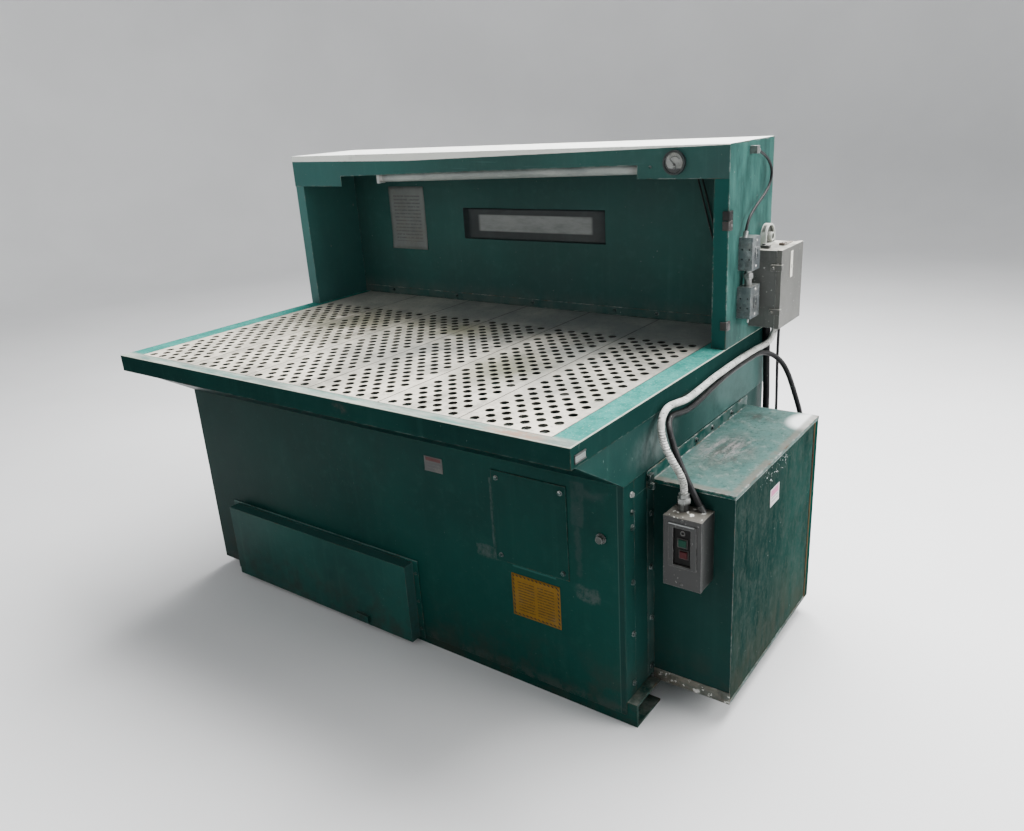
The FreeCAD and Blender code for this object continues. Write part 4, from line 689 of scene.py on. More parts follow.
def pleated_media():
    """Pleated cream filter media between dusty metal end caps, with painted shade towards each pleat's
    fold.
    """
    s = Shader("pleated_media")
    low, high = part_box("filter_cartridge_1")
    middle = (low + high) / 2
    across = s.calc("SUBTRACT", s.calc("ABSOLUTE", s.y), abs(middle.y))
    side = s.both(across, s.calc("SIGN", s.y))
    angle = s.calc("ARCTAN2", s.calc("SUBTRACT", s.z, middle.z), side)
    pleats = s.calc("SINE", s.both(angle, 110.0))
    cap = s.ends(low, high, 0.0085, 0.0075)
    # Painted shade: the media darkens and lightens with the pleats.
    media = s.mix(s.ramp(pleats, -1.0, 1.0), (0.2, 0.18, 0.14), (0.56, 0.52, 0.42))
    media = s.mix(s.both(s.cloud(0.4, 0.66, 8, 8, 0.75), 0.7), media, (0.16, 0.15, 0.13))
    s.colour = s.mix(cap, media, s.mix(s.cloud(0.4, 0.6, 14, 6), (0.36, 0.37, 0.37), (0.22, 0.22, 0.21)))
    s.finish(s.scaled(cap, -0.35, 0.85), waves=(s.both(pleats, s.without(cap)), 0.002),
             grain=(s.noise(300, 3), 0.0002), metal=s.both(cap, 0.7))
    return s


def motor_paint():
    """Grey motor with cooling fins pressed round its body and a bare terminal box edge."""
    s = Shader("motor_paint")
    low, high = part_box("blower_motor")
    body = s.patch((low.x + 0.03, None, None), (high.x - 0.03, None, None), 0.002)
    fins = s.calc("SINE", s.both(s.x, 640.0))
    s.colour = s.mix(s.cloud(0.35, 0.65, 10, 7, 0.7), (0.06, 0.068, 0.072), (0.1, 0.112, 0.118))
    s.coat(DUST, s.upward(), s.cloud(0.3, 0.6, 16, 7, 0.7), 0.7)
    s.coat(BARE, s.edges(0.003), 0.5)
    s.finish(s.scaled(s.noise(20, 5), 0.3, 0.35), waves=(s.both(s.ramp(fins, -0.6, 0.6), body), 0.0025),
             grain=(s.noise(260, 3), 0.0002))
    return s


def mottled_conduit():
    """Off-white conduit jacket, flecked black and stained, with ribs where it rises and painted shade on
    its underside.
    """
    s = Shader("mottled_conduit")
    s.colour = s.mix(s.cloud(0.35, 0.65, 20, 7, 0.75), (0.4, 0.41, 0.38), (0.74, 0.74, 0.71))
    s.coat((0.2, 0.21, 0.18), s.cloud(0.5, 0.66, 13, 8, 0.75, shift=5.0), 0.65)
    flecks = s.cloud(0.58, 0.615, 85, 5, 0.75, stretch=(0.6, 0.6, 1.4), shift=2.0)
    s.coat((0.02, 0.02, 0.018), flecks)
    # Painted shade: darker on the faces that look down.
    s.coat((0.14, 0.15, 0.13), s.without(s.upward(-0.6, 0.2)), 0.55)
    ribs = s.both(s.calc("SINE", s.both(s.z, 900.0)), s.ramp(s.z, 0.93, 0.9))
    s.finish(s.scaled(flecks, 0.25, 0.45), waves=(ribs, 0.0016), grain=(s.noise(60, 4, 0.7), 0.0012))
    return s


def cable_jacket(name, tone, dust=0.22):
    """Rubber or plastic cable jacket, scuffed and dusty on top."""
    s = Shader(name, 0.2)
    s.colour = s.mix(s.cloud(0.35, 0.65, 25, 7, 0.7), tone, tuple(1.6 * c + 0.002 for c in tone))
    top = s.both(s.upward(0.2, 0.9), s.cloud(0.35, 0.65, 30, 6, 0.7, shift=1.0), dust)
    s.coat((0.14, 0.14, 0.13), top)
    s.coat((0.2, 0.21, 0.2), s.cloud(0.68, 0.72, 90, 3, shift=4.0), 0.4)
    s.finish(s.scaled(top, 0.3, 0.42), grain=(s.noise(300, 3), 0.0002))
    return s


def lamp_glass():
    """Unlit fluorescent tube under dust, with metal caps and darkened ends."""
    s = Shader("lamp_glass")
    low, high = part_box("light_tube")
    end = s.ends(low, high, 0.06, 0.022)
    cap = s.ends(low, high, 0.018, 0.017)
    smoky = s.cloud(0.34, 0.66, 7, 7, 0.75, stretch=(1, 3, 3))
    s.colour = s.mix(smoky, (0.33, 0.36, 0.35), (0.2, 0.23, 0.225))
    s.coat((0.13, 0.13, 0.12), end, 0.6)
    s.coat((0.32, 0.31, 0.3), cap)
    s.coat(DUST, s.upward(), s.cloud(0.4, 0.6, 20, 6), 0.6)
    s.finish(s.scaled(s.noise(14, 4), 0.15, 0.3), grain=(s.noise(200, 2), 5e-05))
    return s


def gauge_face():
    """Black bezel and case, with a pale dial, a dark arc scale and ticks."""
    s = Shader("gauge_face")
    low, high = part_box("gauge_case")
    middle = (low + high) / 2
    dial_y = 0.147
    away = s.vector("SUBTRACT", s.place, (middle.x, dial_y, middle.z + 0.0025))
    split = s.node("ShaderNodeSeparateXYZ", Vector=away)
    across, up = split.outputs[0], split.outputs[2]
    radius = s.vector("LENGTH", s.vector("MULTIPLY", away, (1, 0, 1)))
    angle = s.calc("ARCTAN2", across, s.calc("ADD", up, 0.004))
    arc_radius = s.vector("LENGTH", s.vector("MULTIPLY", s.vector("ADD", away, (0, 0, 0.004)), (1, 0, 1)))
    face = s.both(s.ramp(s.y, dial_y + 0.0005, dial_y - 0.0002),
                  s.ramp(s.y, dial_y - 0.0012, dial_y - 0.0006))
    pale = s.both(s.ramp(radius, 0.0278, 0.0272), s.ramp(up, -0.02, -0.019))
    dial = s.mix(s.cloud(0.35, 0.7, 60, 5), (0.44, 0.46, 0.45), (0.6, 0.61, 0.6))
    within = s.ramp(s.calc("ABSOLUTE", angle), 0.98, 0.92)
    arc = s.both(s.ramp(arc_radius, 0.0178, 0.0183), s.ramp(arc_radius, 0.0212, 0.0207), within)
    comb = s.ramp(s.calc("COSINE", s.both(angle, 24.0)), 0.8, 0.92)
    ticks = s.both(comb, s.ramp(arc_radius, 0.0207, 0.0212), s.ramp(arc_radius, 0.0245, 0.024), within)
    notch = s.both(s.ramp(up, -0.015, -0.0165), s.ramp(s.calc("ABSOLUTE", across), 0.006, 0.005))
    dial = s.mix(s.both(s.either(arc, ticks, notch), 0.85), dial, (0.03, 0.036, 0.036))
    black = s.mix(s.cloud(0.4, 0.65, 30, 6), (0.006, 0.009, 0.01), (0.018, 0.024, 0.024))
    case = s.mix(s.both(s.edges(0.002), 0.4), black, (0.07, 0.085, 0.085))
    s.colour = s.mix(s.both(face, pale), case, dial)
    s.finish(s.scaled(face, 0.15, 0.4), grain=(s.noise(260, 3), 0.0001), soften=0.001)
    return s


def clear_lens():
    """Thin clear plastic with a little haze."""
    s = Shader("clear_lens")
    s.surface.inputs["Transmission Weight"].default_value = 1.0
    s.surface.inputs["IOR"].default_value = 1.45
    haze = s.cloud(0.45, 0.75, 45, 6, 0.7)
    s.colour = s.mix(haze, (0.96, 0.97, 0.96), (0.8, 0.8, 0.76))
    s.finish(s.scaled(haze, 0.15, 0.03))
    return s


def paper(name, tone, axis, across_limits, up_limits, ink=(0.09, 0.09, 0.09), rows=14,
          margin=0.12, header=None, border=None, columns=1, dirt=0.40):
    """A printed sheet: rows of unreadable dashes inside its margins, dirt and yellowing.

    axis is x or y, whichever way the sheet runs. header is (share of height, colour), and
    border is (share of width, dashes in radians per metre).
    """
    s = Shader(name, 0.15)
    a0, a1 = across_limits
    z0, z1 = up_limits
    across = s.x if axis == "x" else s.y
    u = s.calc("DIVIDE", s.calc("SUBTRACT", across, a0), a1 - a0)
    v = s.calc("DIVIDE", s.calc("SUBTRACT", s.z, z0), z1 - z0)
    s.colour = s.mix(s.cloud(0.35, 0.7, 14, 7, 0.7), tone, shaded(tone, 0.8))
    inside = s.both(s.ramp(u, margin, margin + 0.01), s.ramp(u, 1 - margin, 0.99 - margin),
                    s.ramp(v, margin, margin + 0.01), s.ramp(v, 1 - margin, 0.99 - margin))
    if columns == 2:
        inside = s.both(inside, s.ramp(s.calc("ABSOLUTE", s.calc("SUBTRACT", u, 0.5)), 0.025, 0.035))
    row = s.ramp(s.calc("SINE", s.both(v, rows * 2 * math.pi)), 0.1, 0.5)
    line_pitch = (z1 - z0) / rows
    s.coat(ink, inside, row, s.cloud(0.4, 0.47, 1, 3, 0.8, stretch=(170, 170, 1 / line_pitch)), 0.7)
    if header:
        share, tint = header
        block = s.both(s.ramp(v, share, share + 0.01), s.ramp(v, 0.93, 0.92), s.ramp(u, 0.08, 0.09),
                       s.ramp(u, 0.92, 0.91))
        s.coat(tint, block)
    if border:
        width, pitch = border
        near = s.calc("MINIMUM", s.calc("MINIMUM", u, s.without(u)),
                      s.both(s.calc("MINIMUM", v, s.without(v)), (z1 - z0) / (a1 - a0)))
        edge_line = s.both(s.ramp(near, 0.02, 0.026), s.ramp(near, width + 0.006, width))
        step = s.calc("ADD", s.both(across, pitch), s.both(s.z, pitch))
        dashes = s.ramp(s.calc("SINE", step), -0.1, 0.1)
        s.coat((0.015, 0.014, 0.01), edge_line, dashes)
    s.coat((0.17, 0.16, 0.13), s.cloud(0.48, 0.7, 9, 8, 0.78, shift=3.3), dirt)
    s.finish(s.scaled(s.noise(30, 4), 0.2, 0.45), grain=(s.noise(200, 3), 0.0001))
    return s


def blank_plate():
    """A dark name strip whose middle is a worn pale band with nothing on it."""
    s = Shader("blank_plate")
    middle = s.both(s.ramp(s.x, -0.235, -0.215), s.ramp(s.x, 0.33, 0.315), s.ramp(s.z, 1.312, 1.318),
                    s.ramp(s.z, 1.384, 1.378))
    worn = s.cloud(0.3, 0.62, 9, 8, 0.75, stretch=(0.5, 1, 2))
    dark = s.mix(s.cloud(0.4, 0.7, 20, 6), (0.004, 0.01, 0.012), (0.01, 0.018, 0.02))
    pale = s.mix(worn, (0.11, 0.125, 0.125), (0.22, 0.235, 0.232))
    s.colour = s.mix(middle, dark, pale)
    s.finish(s.scaled(worn, 0.2, 0.35), grain=(s.noise(200, 3), 0.0001))
    return s


# ---------------------------------------------------------------- cords
def cord_piece(name, points, diameter, shader, nodes):
    """A cable or conduit as one smooth spline through the air between its two fittings."""
    curve = bpy.data.curves.new(name, "CURVE")
    curve.dimensions = "3D"
    curve.resolution_u = 16
    curve.bevel_depth = diameter / 2
    curve.bevel_resolution = 8
    curve.use_fill_caps = True
    line = curve.splines.new("NURBS")
    line.points.add(len(points) - 1)
    for control, place in zip(line.points, points):
        control.co = (*place, 1.0)
    line.order_u = 3
    line.use_endpoint_u = True
    piece = bpy.data.objects.new(name, curve)
    bpy.context.scene.collection.objects.link(piece)
    dress(piece, shader)
    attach(piece, "root")
    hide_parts(*nodes)


# Points of each cable's real route from fitting to fitting.
SIDE_CONDUIT = [
    (1.102, -0.381, 0.745), (1.102, -0.381, 0.772), (1.093, -0.386, 0.802), (1.068, -0.389, 0.841),
    (1.042, -0.384, 0.879), (1.024, -0.369, 0.914), (1.012, -0.341, 0.943), (1.008, -0.296, 0.961),
    (1.008, -0.243, 0.955), (1.009, -0.170, 0.943), (1.009, -0.090, 0.947), (1.009, 0.020, 0.955),
    (1.009, 0.150, 0.958), (1.009, 0.280, 0.959), (1.010, 0.365, 0.958), (1.015, 0.418, 0.958),
    (1.024, 0.450, 0.962), (1.029, 0.475, 0.972), (1.032, 0.492, 0.990), (1.032, 0.501, 1.013),
    (1.032, 0.501, 1.036),
]
BLACK_CONDUIT = [
    (1.144, -0.366, 0.708), (1.130, -0.365, 0.731), (1.109, -0.360, 0.763), (1.086, -0.353, 0.799),
    (1.063, -0.343, 0.834), (1.043, -0.332, 0.868), (1.027, -0.320, 0.899), (1.013, -0.296, 0.918),
    (1.005, -0.263, 0.924), (1.004, -0.218, 0.915), (1.004, -0.155, 0.904), (1.004, -0.075, 0.907),
    (1.004, 0.030, 0.921), (1.004, 0.150, 0.932), (1.005, 0.270, 0.935), (1.007, 0.350, 0.935),
    (1.011, 0.398, 0.937), (1.024, 0.436, 0.934), (1.049, 0.462, 0.919), (1.075, 0.476, 0.890),
    (1.096, 0.481, 0.850), (1.112, 0.483, 0.805), (1.127, 0.485, 0.760), (1.141, 0.487, 0.716),
    (1.150, 0.482, 0.676), (1.154, 0.470, 0.648), (1.155, 0.448, 0.628), (1.155, 0.420, 0.619),
    (1.155, 0.390, 0.619),
]
RISER = [
    (1.007, 0.494, 1.036), (1.007, 0.494, 0.968), (1.009, 0.500, 0.852), (1.012, 0.503, 0.738),
    (1.012, 0.503, 0.661),
]
THIN_CABLE = [
    (1.050, 0.492, 1.040), (1.050, 0.492, 1.006), (1.047, 0.498, 0.940), (1.047, 0.503, 0.850),
    (1.049, 0.504, 0.765), (1.050, 0.505, 0.695), (1.049, 0.505, 0.645), (1.047, 0.505, 0.612),
    (1.041, 0.505, 0.585), (1.029, 0.505, 0.565), (1.014, 0.505, 0.556), (1.000, 0.505, 0.556),
]
GAUGE_CENTRE = (0.814, 1.600)      # x and z; the tubes' x and z below are offsets from it
GAUGE_PORT = 0.008
GAUGE_TUBE = [
    (0.0, 0.186, 0.0), (0.0, 0.234, 0.0), (-0.012, 0.315, -0.016), (-0.030, 0.398, -0.056),
    (-0.032, 0.440, -0.118), (-0.016, 0.448, -0.190), (0.006, 0.449, -0.270),
    (0.034, 0.449, -0.350), (0.058, 0.450, -0.422), (0.077, 0.452, -0.482),
    (0.083, 0.452, -0.520), (0.083, 0.452, -0.545),
]
HOOD_CORD = [
    (1.008, 0.346, 1.619), (1.010, 0.387, 1.606), (1.012, 0.430, 1.584), (1.013, 0.461, 1.552),
    (1.013, 0.458, 1.518), (1.013, 0.430, 1.491), (1.013, 0.381, 1.469), (1.013, 0.327, 1.447),
    (1.013, 0.282, 1.424), (1.013, 0.259, 1.401), (1.013, 0.250, 1.379),
]


def make_cords():
    jacket = cable_jacket("black_jacket", (0.007, 0.007, 0.008))
    tubing = cable_jacket("dark_tubing", (0.016, 0.018, 0.018), dust=0.1)
    cord_piece("pale_conduit", SIDE_CONDUIT, 0.021, mottled_conduit(), ["side_conduit"])
    cord_piece("black_hose", BLACK_CONDUIT, 0.018, jacket, ["black_conduit"])
    cord_piece("riser_pipe", RISER, 0.024, jacket, ["cable_runs"])
    cord_piece("thin_cable", THIN_CABLE, 0.01, jacket, ["cable_runs"])
    for name, side in (("gauge_tube_left", -1), ("gauge_tube_right", 1)):
        route = [(GAUGE_CENTRE[0] + side * GAUGE_PORT + x, y, GAUGE_CENTRE[1] + z) for x, y,
                 z in GAUGE_TUBE]
        cord_piece(name, route, 0.006, tubing, ["cable_runs"])
    cord_piece("lamp_cord", HOOD_CORD, 0.009, jacket, ["hood_cord"])


# ---------------------------------------------------------------- small pieces
def add_block(mesh, low, high, bevel=0.0):
    """A block with rounded edges, added to a bmesh."""
    corners = [mesh.verts.new(corner) for corner in itertools.product(*zip(low, high))]
    faces = [(0, 1, 3, 2), (4, 6, 7, 5), (0, 4, 5, 1), (2, 3, 7, 6), (0, 2, 6, 4), (1, 5, 7, 3)]
    made = [mesh.faces.new([corners[k] for k in face]) for face in faces]
    bmesh.ops.recalc_face_normals(mesh, faces=made)
    if bevel:
        edges = list(dict.fromkeys(edge for face in made for edge in face.edges))
        bmesh.ops.bevel(mesh, geom=edges, offset=bevel, segments=3, profile=0.5, affect="EDGES")


def add_screw(mesh, centre, direction, radius, turn=0.4):
    """A domed slotted screw head that stands on a face."""
    out = Vector(direction).normalized()
    frame_axes = out.to_track_quat("Z", "Y").to_matrix()
    steps = 20
    rings = []
    for r, h in ((1.0, 0.0), (1.0, 0.22), (0.86, 0.42), (0.55, 0.55), (0.16, 0.58)):
        ring = []
        for k in range(steps):
            angle = 2 * math.pi * k / steps
            x, y = r * math.cos(angle), r * math.sin(angle)
            slot = abs(x * math.sin(turn) - y * math.cos(turn)) < 0.2 and r < 1.0
            height = h - 0.22 if slot else h
            point = Vector((x * radius, y * radius, height * radius))
            ring.append(mesh.verts.new(Vector(centre) + frame_axes @ point))
        rings.append(ring)
    for one, two in zip(rings, rings[1:]):
        for k in range(steps):
            mesh.faces.new((one[k], one[(k + 1) % steps], two[(k + 1) % steps], two[k]))
    mesh.faces.new(rings[-1])
    mesh.faces.new(list(reversed(rings[0])))


def finish_piece(piece, shader, body="root"):
    dress(piece, shader)
    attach(piece, body)


def thin_sheet(name, corner, across, up, shader, body="root", curl=0.0):
    """A thin flexible sheet on a face, with lifted corners. across and up are its sides."""
    across, up = Vector(across), Vector(up)
    out = across.cross(up).normalized()
    mesh = bmesh.new()
    count = 14
    grid = []
    for j in range(count + 1):
        row = []
        for k in range(count + 1):
            u, v = k / count, j / count
            lift = 0.0006 + curl * (max(0.0, 1 - (u + v) / 0.35) ** 2
                                    + 0.6 * max(0.0, 1 - (1 - u + v) / 0.30) ** 2
                                    + 0.3 * max(0.0, 1 - (2 - u - v) / 0.25) ** 2)
            lift += 0.1 * curl * math.sin(7 * u + 3 * v) ** 2
            row.append(mesh.verts.new(Vector(corner) + across * u + up * v + out * lift))
        grid.append(row)
    for low, high in zip(grid, grid[1:]):
        for a, b, c, d in zip(low, low[1:], high[1:], high):
            mesh.faces.new((a, b, c, d))
    piece = to_object(name, mesh)
    thick = piece.modifiers.new("thickness", "SOLIDIFY")
    thick.thickness = 0.0004
    thick.offset = 1.0
    finish_piece(piece, shader, body)


def printed_sheet(name, print_name, tone, along, corner, width, height, slot="white_enamel",
                  body="root", curl=0.0, **print_look):
    """A sheet on a face, with its print from edge to edge. It runs along x or y, and up."""
    start = corner[0] if along == "x" else corner[1]
    across = (width, 0, 0) if along == "x" else (0, width, 0)
    shader = paper(print_name, tone, along, (start, start + width), (corner[2], corner[2] + height),
                   **print_look)
    thin_sheet(name, corner, across, (0, 0, height), shader, body, curl)


def make_sheets():
    """Notices, labels and the blank name strip, each without lettering."""
    # The notice's white paper is painted grey: painted shade for the dim inside of the hood.
    printed_sheet("notice_sheet", "notice_paper", (0.185, 0.2, 0.195), "x", (-0.733, HOOD_BACK_Y, 1.222),
                  0.208, 0.273, curl=0.007, rows=18)
    thin_sheet("name_strip", (-0.31, HOOD_BACK_Y, 1.28), (0.69, 0, 0), (0, 0, 0.128), blank_plate())
    # The yellow label's tone is darkened: painted shade for the shaded front.
    printed_sheet("yellow_sheet", "yellow_print", (0.17, 0.088, 0.003), "x", (0.58, FRONT_Y, 0.26), 0.183,
                  0.152, "black_plastic", curl=0.0008, ink=(0.012, 0.008, 0.003), rows=15,
                  border=(0.052, 420.0), columns=2, dirt=0.12)
    # The front label's paper is painted dark grey: painted shade for the shaded front.
    printed_sheet("front_label", "front_label_print", (0.085, 0.088, 0.086), "x",
                  (0.253, FRONT_Y, 0.697), 0.077, 0.053, curl=0.002, rows=5,
                  header=(0.7, (0.08, 0.03, 0.03)))
    printed_sheet("blower_label", "blower_label_print", (0.5, 0.49, 0.49), "y",
                  (BOX_HIGH.x, -0.07, 0.598), 0.076, 0.058, curl=0.001, rows=5,
                  header=(0.55, (0.45, 0.14, 0.26)))
    printed_sheet("door_strip", "strip_print", (0.72, 0.7, 0.62), "y", (DOOR_HIGH.x - 0.003, 0.424, 1.204),
                  0.022, 0.088, body="enclosure_door", curl=0.0006, rows=3, margin=0.3)


def make_tag_holder():
    """A small dark bracket with a pale tag on the rim's right side, near the front."""
    x = RIM_HIGH.x
    y0, y1, z0, z1 = -0.775, -0.723, 0.962, 0.986
    lip = 0.0035
    mesh = bmesh.new()
    add_block(mesh, (x, y0, z0), (x + 0.0016, y1, z1), 0.0006)
    for z in (z0, z1 - lip):
        add_block(mesh, (x + 0.0012, y0, z), (x + 0.0042, y1, z + lip), 0.0008)
    finish_piece(to_object("tag_holder", mesh), plastic("tag_holder_black", (0.03, 0.032, 0.031)))
    tag = paper("tag_print", (0.22, 0.24, 0.23), "y", (y0, y1), (z0, z1), rows=4)
    thin_sheet("tag_paper", (x + 0.0016, y0 + 0.002, z0 + 0.004), (0, y1 - y0 - 0.004, 0),
               (0, 0, z1 - z0 - 0.008), tag, curl=0.0002)


def make_hood_clips():
    """Three worn clips that hold on to the hood's right front edge."""
    x, y = HOOD_HIGH.x, HOOD_LOW.y
    dark = plastic("clip_black", (0.006, 0.006, 0.006), dirt=0.15)
    brown = enamel("clip_brown", (0.016, 0.013, 0.012), dust=0.2, wear=0.3)
    for name, z0, z1, shader in (("edge_clip_upper", 1.424, 1.454, dark),
                                 ("edge_clip_middle", 1.393, 1.4235, brown),
                                 ("edge_clip_lower", 1.075, 1.105, brown)):
        mesh = bmesh.new()
        add_block(mesh, (x + 0.0003, y - 0.004, z0), (x + 0.0065, y + 0.02, z1), 0.0018)
        add_block(mesh, (x - 0.018, y - 0.0065, z0 + 0.001), (x + 0.004, y - 0.0023, z1 - 0.001), 0.0015)
        add_screw(mesh, (x + 0.0062, y + 0.01, (z0 + z1) / 2), (1, 0, 0), 0.0035)
        finish_piece(to_object(name, mesh), shader)


def make_starter_details():
    """The insert's round mark and the bezels round both buttons."""
    face = STARTER_LOW.y + 0.0065
    mesh = bmesh.new()
    for node in ("start_button", "stop_button"):
        low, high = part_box(node)
        gap, wall, proud = 0.0009, 0.0028, 0.003
        x0, x1, z0, z1 = low.x - gap, high.x + gap, low.z - gap, high.z + gap
        for a, b, c, d in ((x0 - wall, x1 + wall, z1, z1 + wall), (x0 - wall, x1 + wall, z0 - wall, z0),
                           (x0 - wall, x0, z0, z1), (x1, x1 + wall, z0, z1)):
            add_block(mesh, (a, face - proud, c), (b, face - 0.0002, d), 0.0005)
    finish_piece(to_object("button_bezels", mesh), plastic("bezel_black", (0.03, 0.028, 0.027)))
    ring = [(0.0045, 0.0), (0.0048, 0.0012), (0.0062, 0.0016), (0.0074, 0.0012), (0.0078, 0.0)]
    mark = spin_profile("round_mark", ring, (1.124, face - 0.0002, 0.648), (0, -1, 0))
    finish_piece(mark, enamel("mark_grey", (0.06, 0.06, 0.058), wear=0.2))
    screws = bmesh.new()
    x_middle = (STARTER_LOW.x + STARTER_HIGH.x) / 2
    for z in (STARTER_LOW.z + 0.0115, STARTER_HIGH.z - 0.0075):
        add_screw(screws, (x_middle, STARTER_LOW.y + 0.0038, z), (0, -1, 0), 0.0042)
    finish_piece(to_object("starter_screws", screws), enamel("screw_grey", (0.02, 0.021, 0.02), wear=0.2))


def make_switch_details():
    """Cover screws and dark knockouts of the two switch boxes, and the pin under them."""
    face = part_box("switch_boxes")[1].x - 0.004
    boxes = (0.241, 0.307, 1.255, 1.36), (0.239, 0.315, 1.098, 1.201)
    screws = bmesh.new()
    knockouts = bmesh.new()
    for y0, y1, z0, z1 in boxes:
        middle = (y0 + y1) / 2
        for z, turn in ((z0 + 0.011, 0.3), (z1 - 0.011, 1.4)):
            add_screw(screws, (face, middle, z), (1, 0, 0), 0.0042, turn)
        for x in (1.006, 1.030):
            for z in (z0 + 0.34 * (z1 - z0), z0 + 0.64 * (z1 - z0)):
                add_screw(knockouts, (x, y0 - 0.0001, z), (0, -1, 0), 0.003, x * 90)
    finish_piece(to_object("cover_screws", screws), bright_steel("cover_screw_steel"))
    finish_piece(to_object("box_knockouts", knockouts), plastic("knockout_dark", (0.022, 0.024, 0.024)))
    pin = [(0.0, 0.0), (0.003, 0.0), (0.003, 0.016), (0.0052, 0.0165), (0.0056, 0.02), (0.0052, 0.0205),
           (0.0, 0.0207)]
    finish_piece(spin_profile("box_stud", pin, (1.018, 0.277, 1.0768), (0, 0, 1)),
                 bright_steel("stud_steel", rust=0.8))


def make_enclosure_details():
    """A cable clamp and a folded hasp lying on the enclosure's dusty top."""
    z = BODY_HIGH.z
    mesh = bmesh.new()
    add_block(mesh, (1.016, 0.372, z + 0.0002), (1.045, 0.392, z + 0.011), 0.002)
    add_block(mesh, (1.021, 0.376, z + 0.01), (1.031, 0.388, z + 0.016), 0.0015)
    add_screw(mesh, (1.038, 0.382, z + 0.0108), (0, 0, 1), 0.0045)
    finish_piece(to_object("top_clamp", mesh), enamel("clamp_dark", (0.03, 0.032, 0.03), dust=0.3))
    hasp = bmesh.new()
    add_block(hasp, (1.052, 0.446, z + 0.0002), (1.07, 0.474, z + 0.009), 0.002)
    add_block(hasp, (1.058, 0.47, z + 0.0002), (1.072, 0.53, z + 0.003), 0.001)
    add_screw(hasp, (1.061, 0.458, z + 0.0088), (0, 0, 1), 0.004)
    finish_piece(to_object("top_hasp", hasp), enamel("hasp_brown", (0.075, 0.052, 0.04), dust=0.3))


def make_gauge_lens():
    """A thin clear lens inside the bezel, over the needle."""
    low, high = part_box("gauge_case")
    middle = (low + high) / 2
    profile = [(0.0, 0.0), (0.0305, 0.0), (0.0312, 0.0004), (0.0305, 0.001), (0.0, 0.0022)]
    lens = spin_profile("gauge_lens", profile, (middle.x, low.y + 0.003, middle.z), (0, -1, 0), 64)
    finish_piece(lens, clear_lens())


# ---------------------------------------------------------------- materials of the CAD pieces
def fitting_marks(s):
    """The hood gland and the black conduit's collar are darker than the zinc fittings."""
    dark = s.either(s.patch((1.108, -0.4, 0.69), (1.17, -0.33, 0.72), 0.002),
                    s.patch((0.99, 0.47, 0.55), (1.07, 0.53, 1.05), 0.002))
    s.coat((0.03, 0.03, 0.03), dark, 0.85)


def bolt_marks(s):
    """Every bolt is painted over and rubbed on its head, and the tap plug is stained."""
    plug = s.patch((0.88, None, 0.58), (0.95, None, 0.66), 0.002)
    clip = s.patch((None, None, 0.736), (None, -0.4, 0.784), 0.001)
    worn = s.cloud(0.44, 0.62, 90, 5, 0.75)
    painted = s.mix(s.both(worn, 0.6), (0.006, 0.034, 0.03), (0.105, 0.13, 0.122))
    s.coat(painted, s.without(s.both(s.either(plug, clip), 0.85)))
    s.coat((0.026, 0.033, 0.029), plug, 0.92)


def starter_marks(s):
    """White drips on the starter's top, and a painted highlight along the window frame's top."""
    low, high = STARTER_LOW, STARTER_HIGH
    top = s.ramp(s.z, high.z - 0.003, high.z - 0.001)
    s.coat((0.085, 0.078, 0.064), top, s.cloud(0.3, 0.55, 30, 7, 0.75), 0.85)
    s.coat((0.75, 0.75, 0.7), top, s.cloud(0.6, 0.64, 55, 3, 0.6, shift=4.4))
    frame_x = (low.x + high.x) / 2
    # Painted highlight along the window frame's top edge.
    line = s.both(s.patch((frame_x - 0.04, None, 0.6735), (frame_x + 0.037, None, 0.6765), 0.0008),
                  s.ramp(s.y, low.y + 0.004, low.y + 0.003), 0.75)
    s.coat((0.42, 0.44, 0.44), line)


def hub_marks(s):
    """Painted shade darkens the arched box's recess, and its hub is paler."""
    low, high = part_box("supply_hub")
    deep = s.ramp(s.x, high.x - 0.006, high.x - 0.01)
    inside = s.both(deep, s.without(s.ramp(s.x, high.x - 0.018, high.x - 0.02)))
    from_axis = s.vector("MULTIPLY", s.vector("SUBTRACT", s.place, (0, 0.489, 1.328)), (0, 1, 1))
    away = s.vector("LENGTH", from_axis)
    hub = s.both(s.ramp(away, 0.0165, 0.0155), 0.7)
    # Painted shade on the recess walls.
    walls = s.both(inside, s.without(hub), s.patch((None, low.y + 0.004, low.z + 0.002),
                                                   (None, high.y - 0.004, high.z - 0.004)))
    s.coat((0.045, 0.05, 0.044), walls, 0.92)
    s.coat((0.1, 0.11, 0.1), s.ramp(away, 0.0113, 0.0108), 0.8)


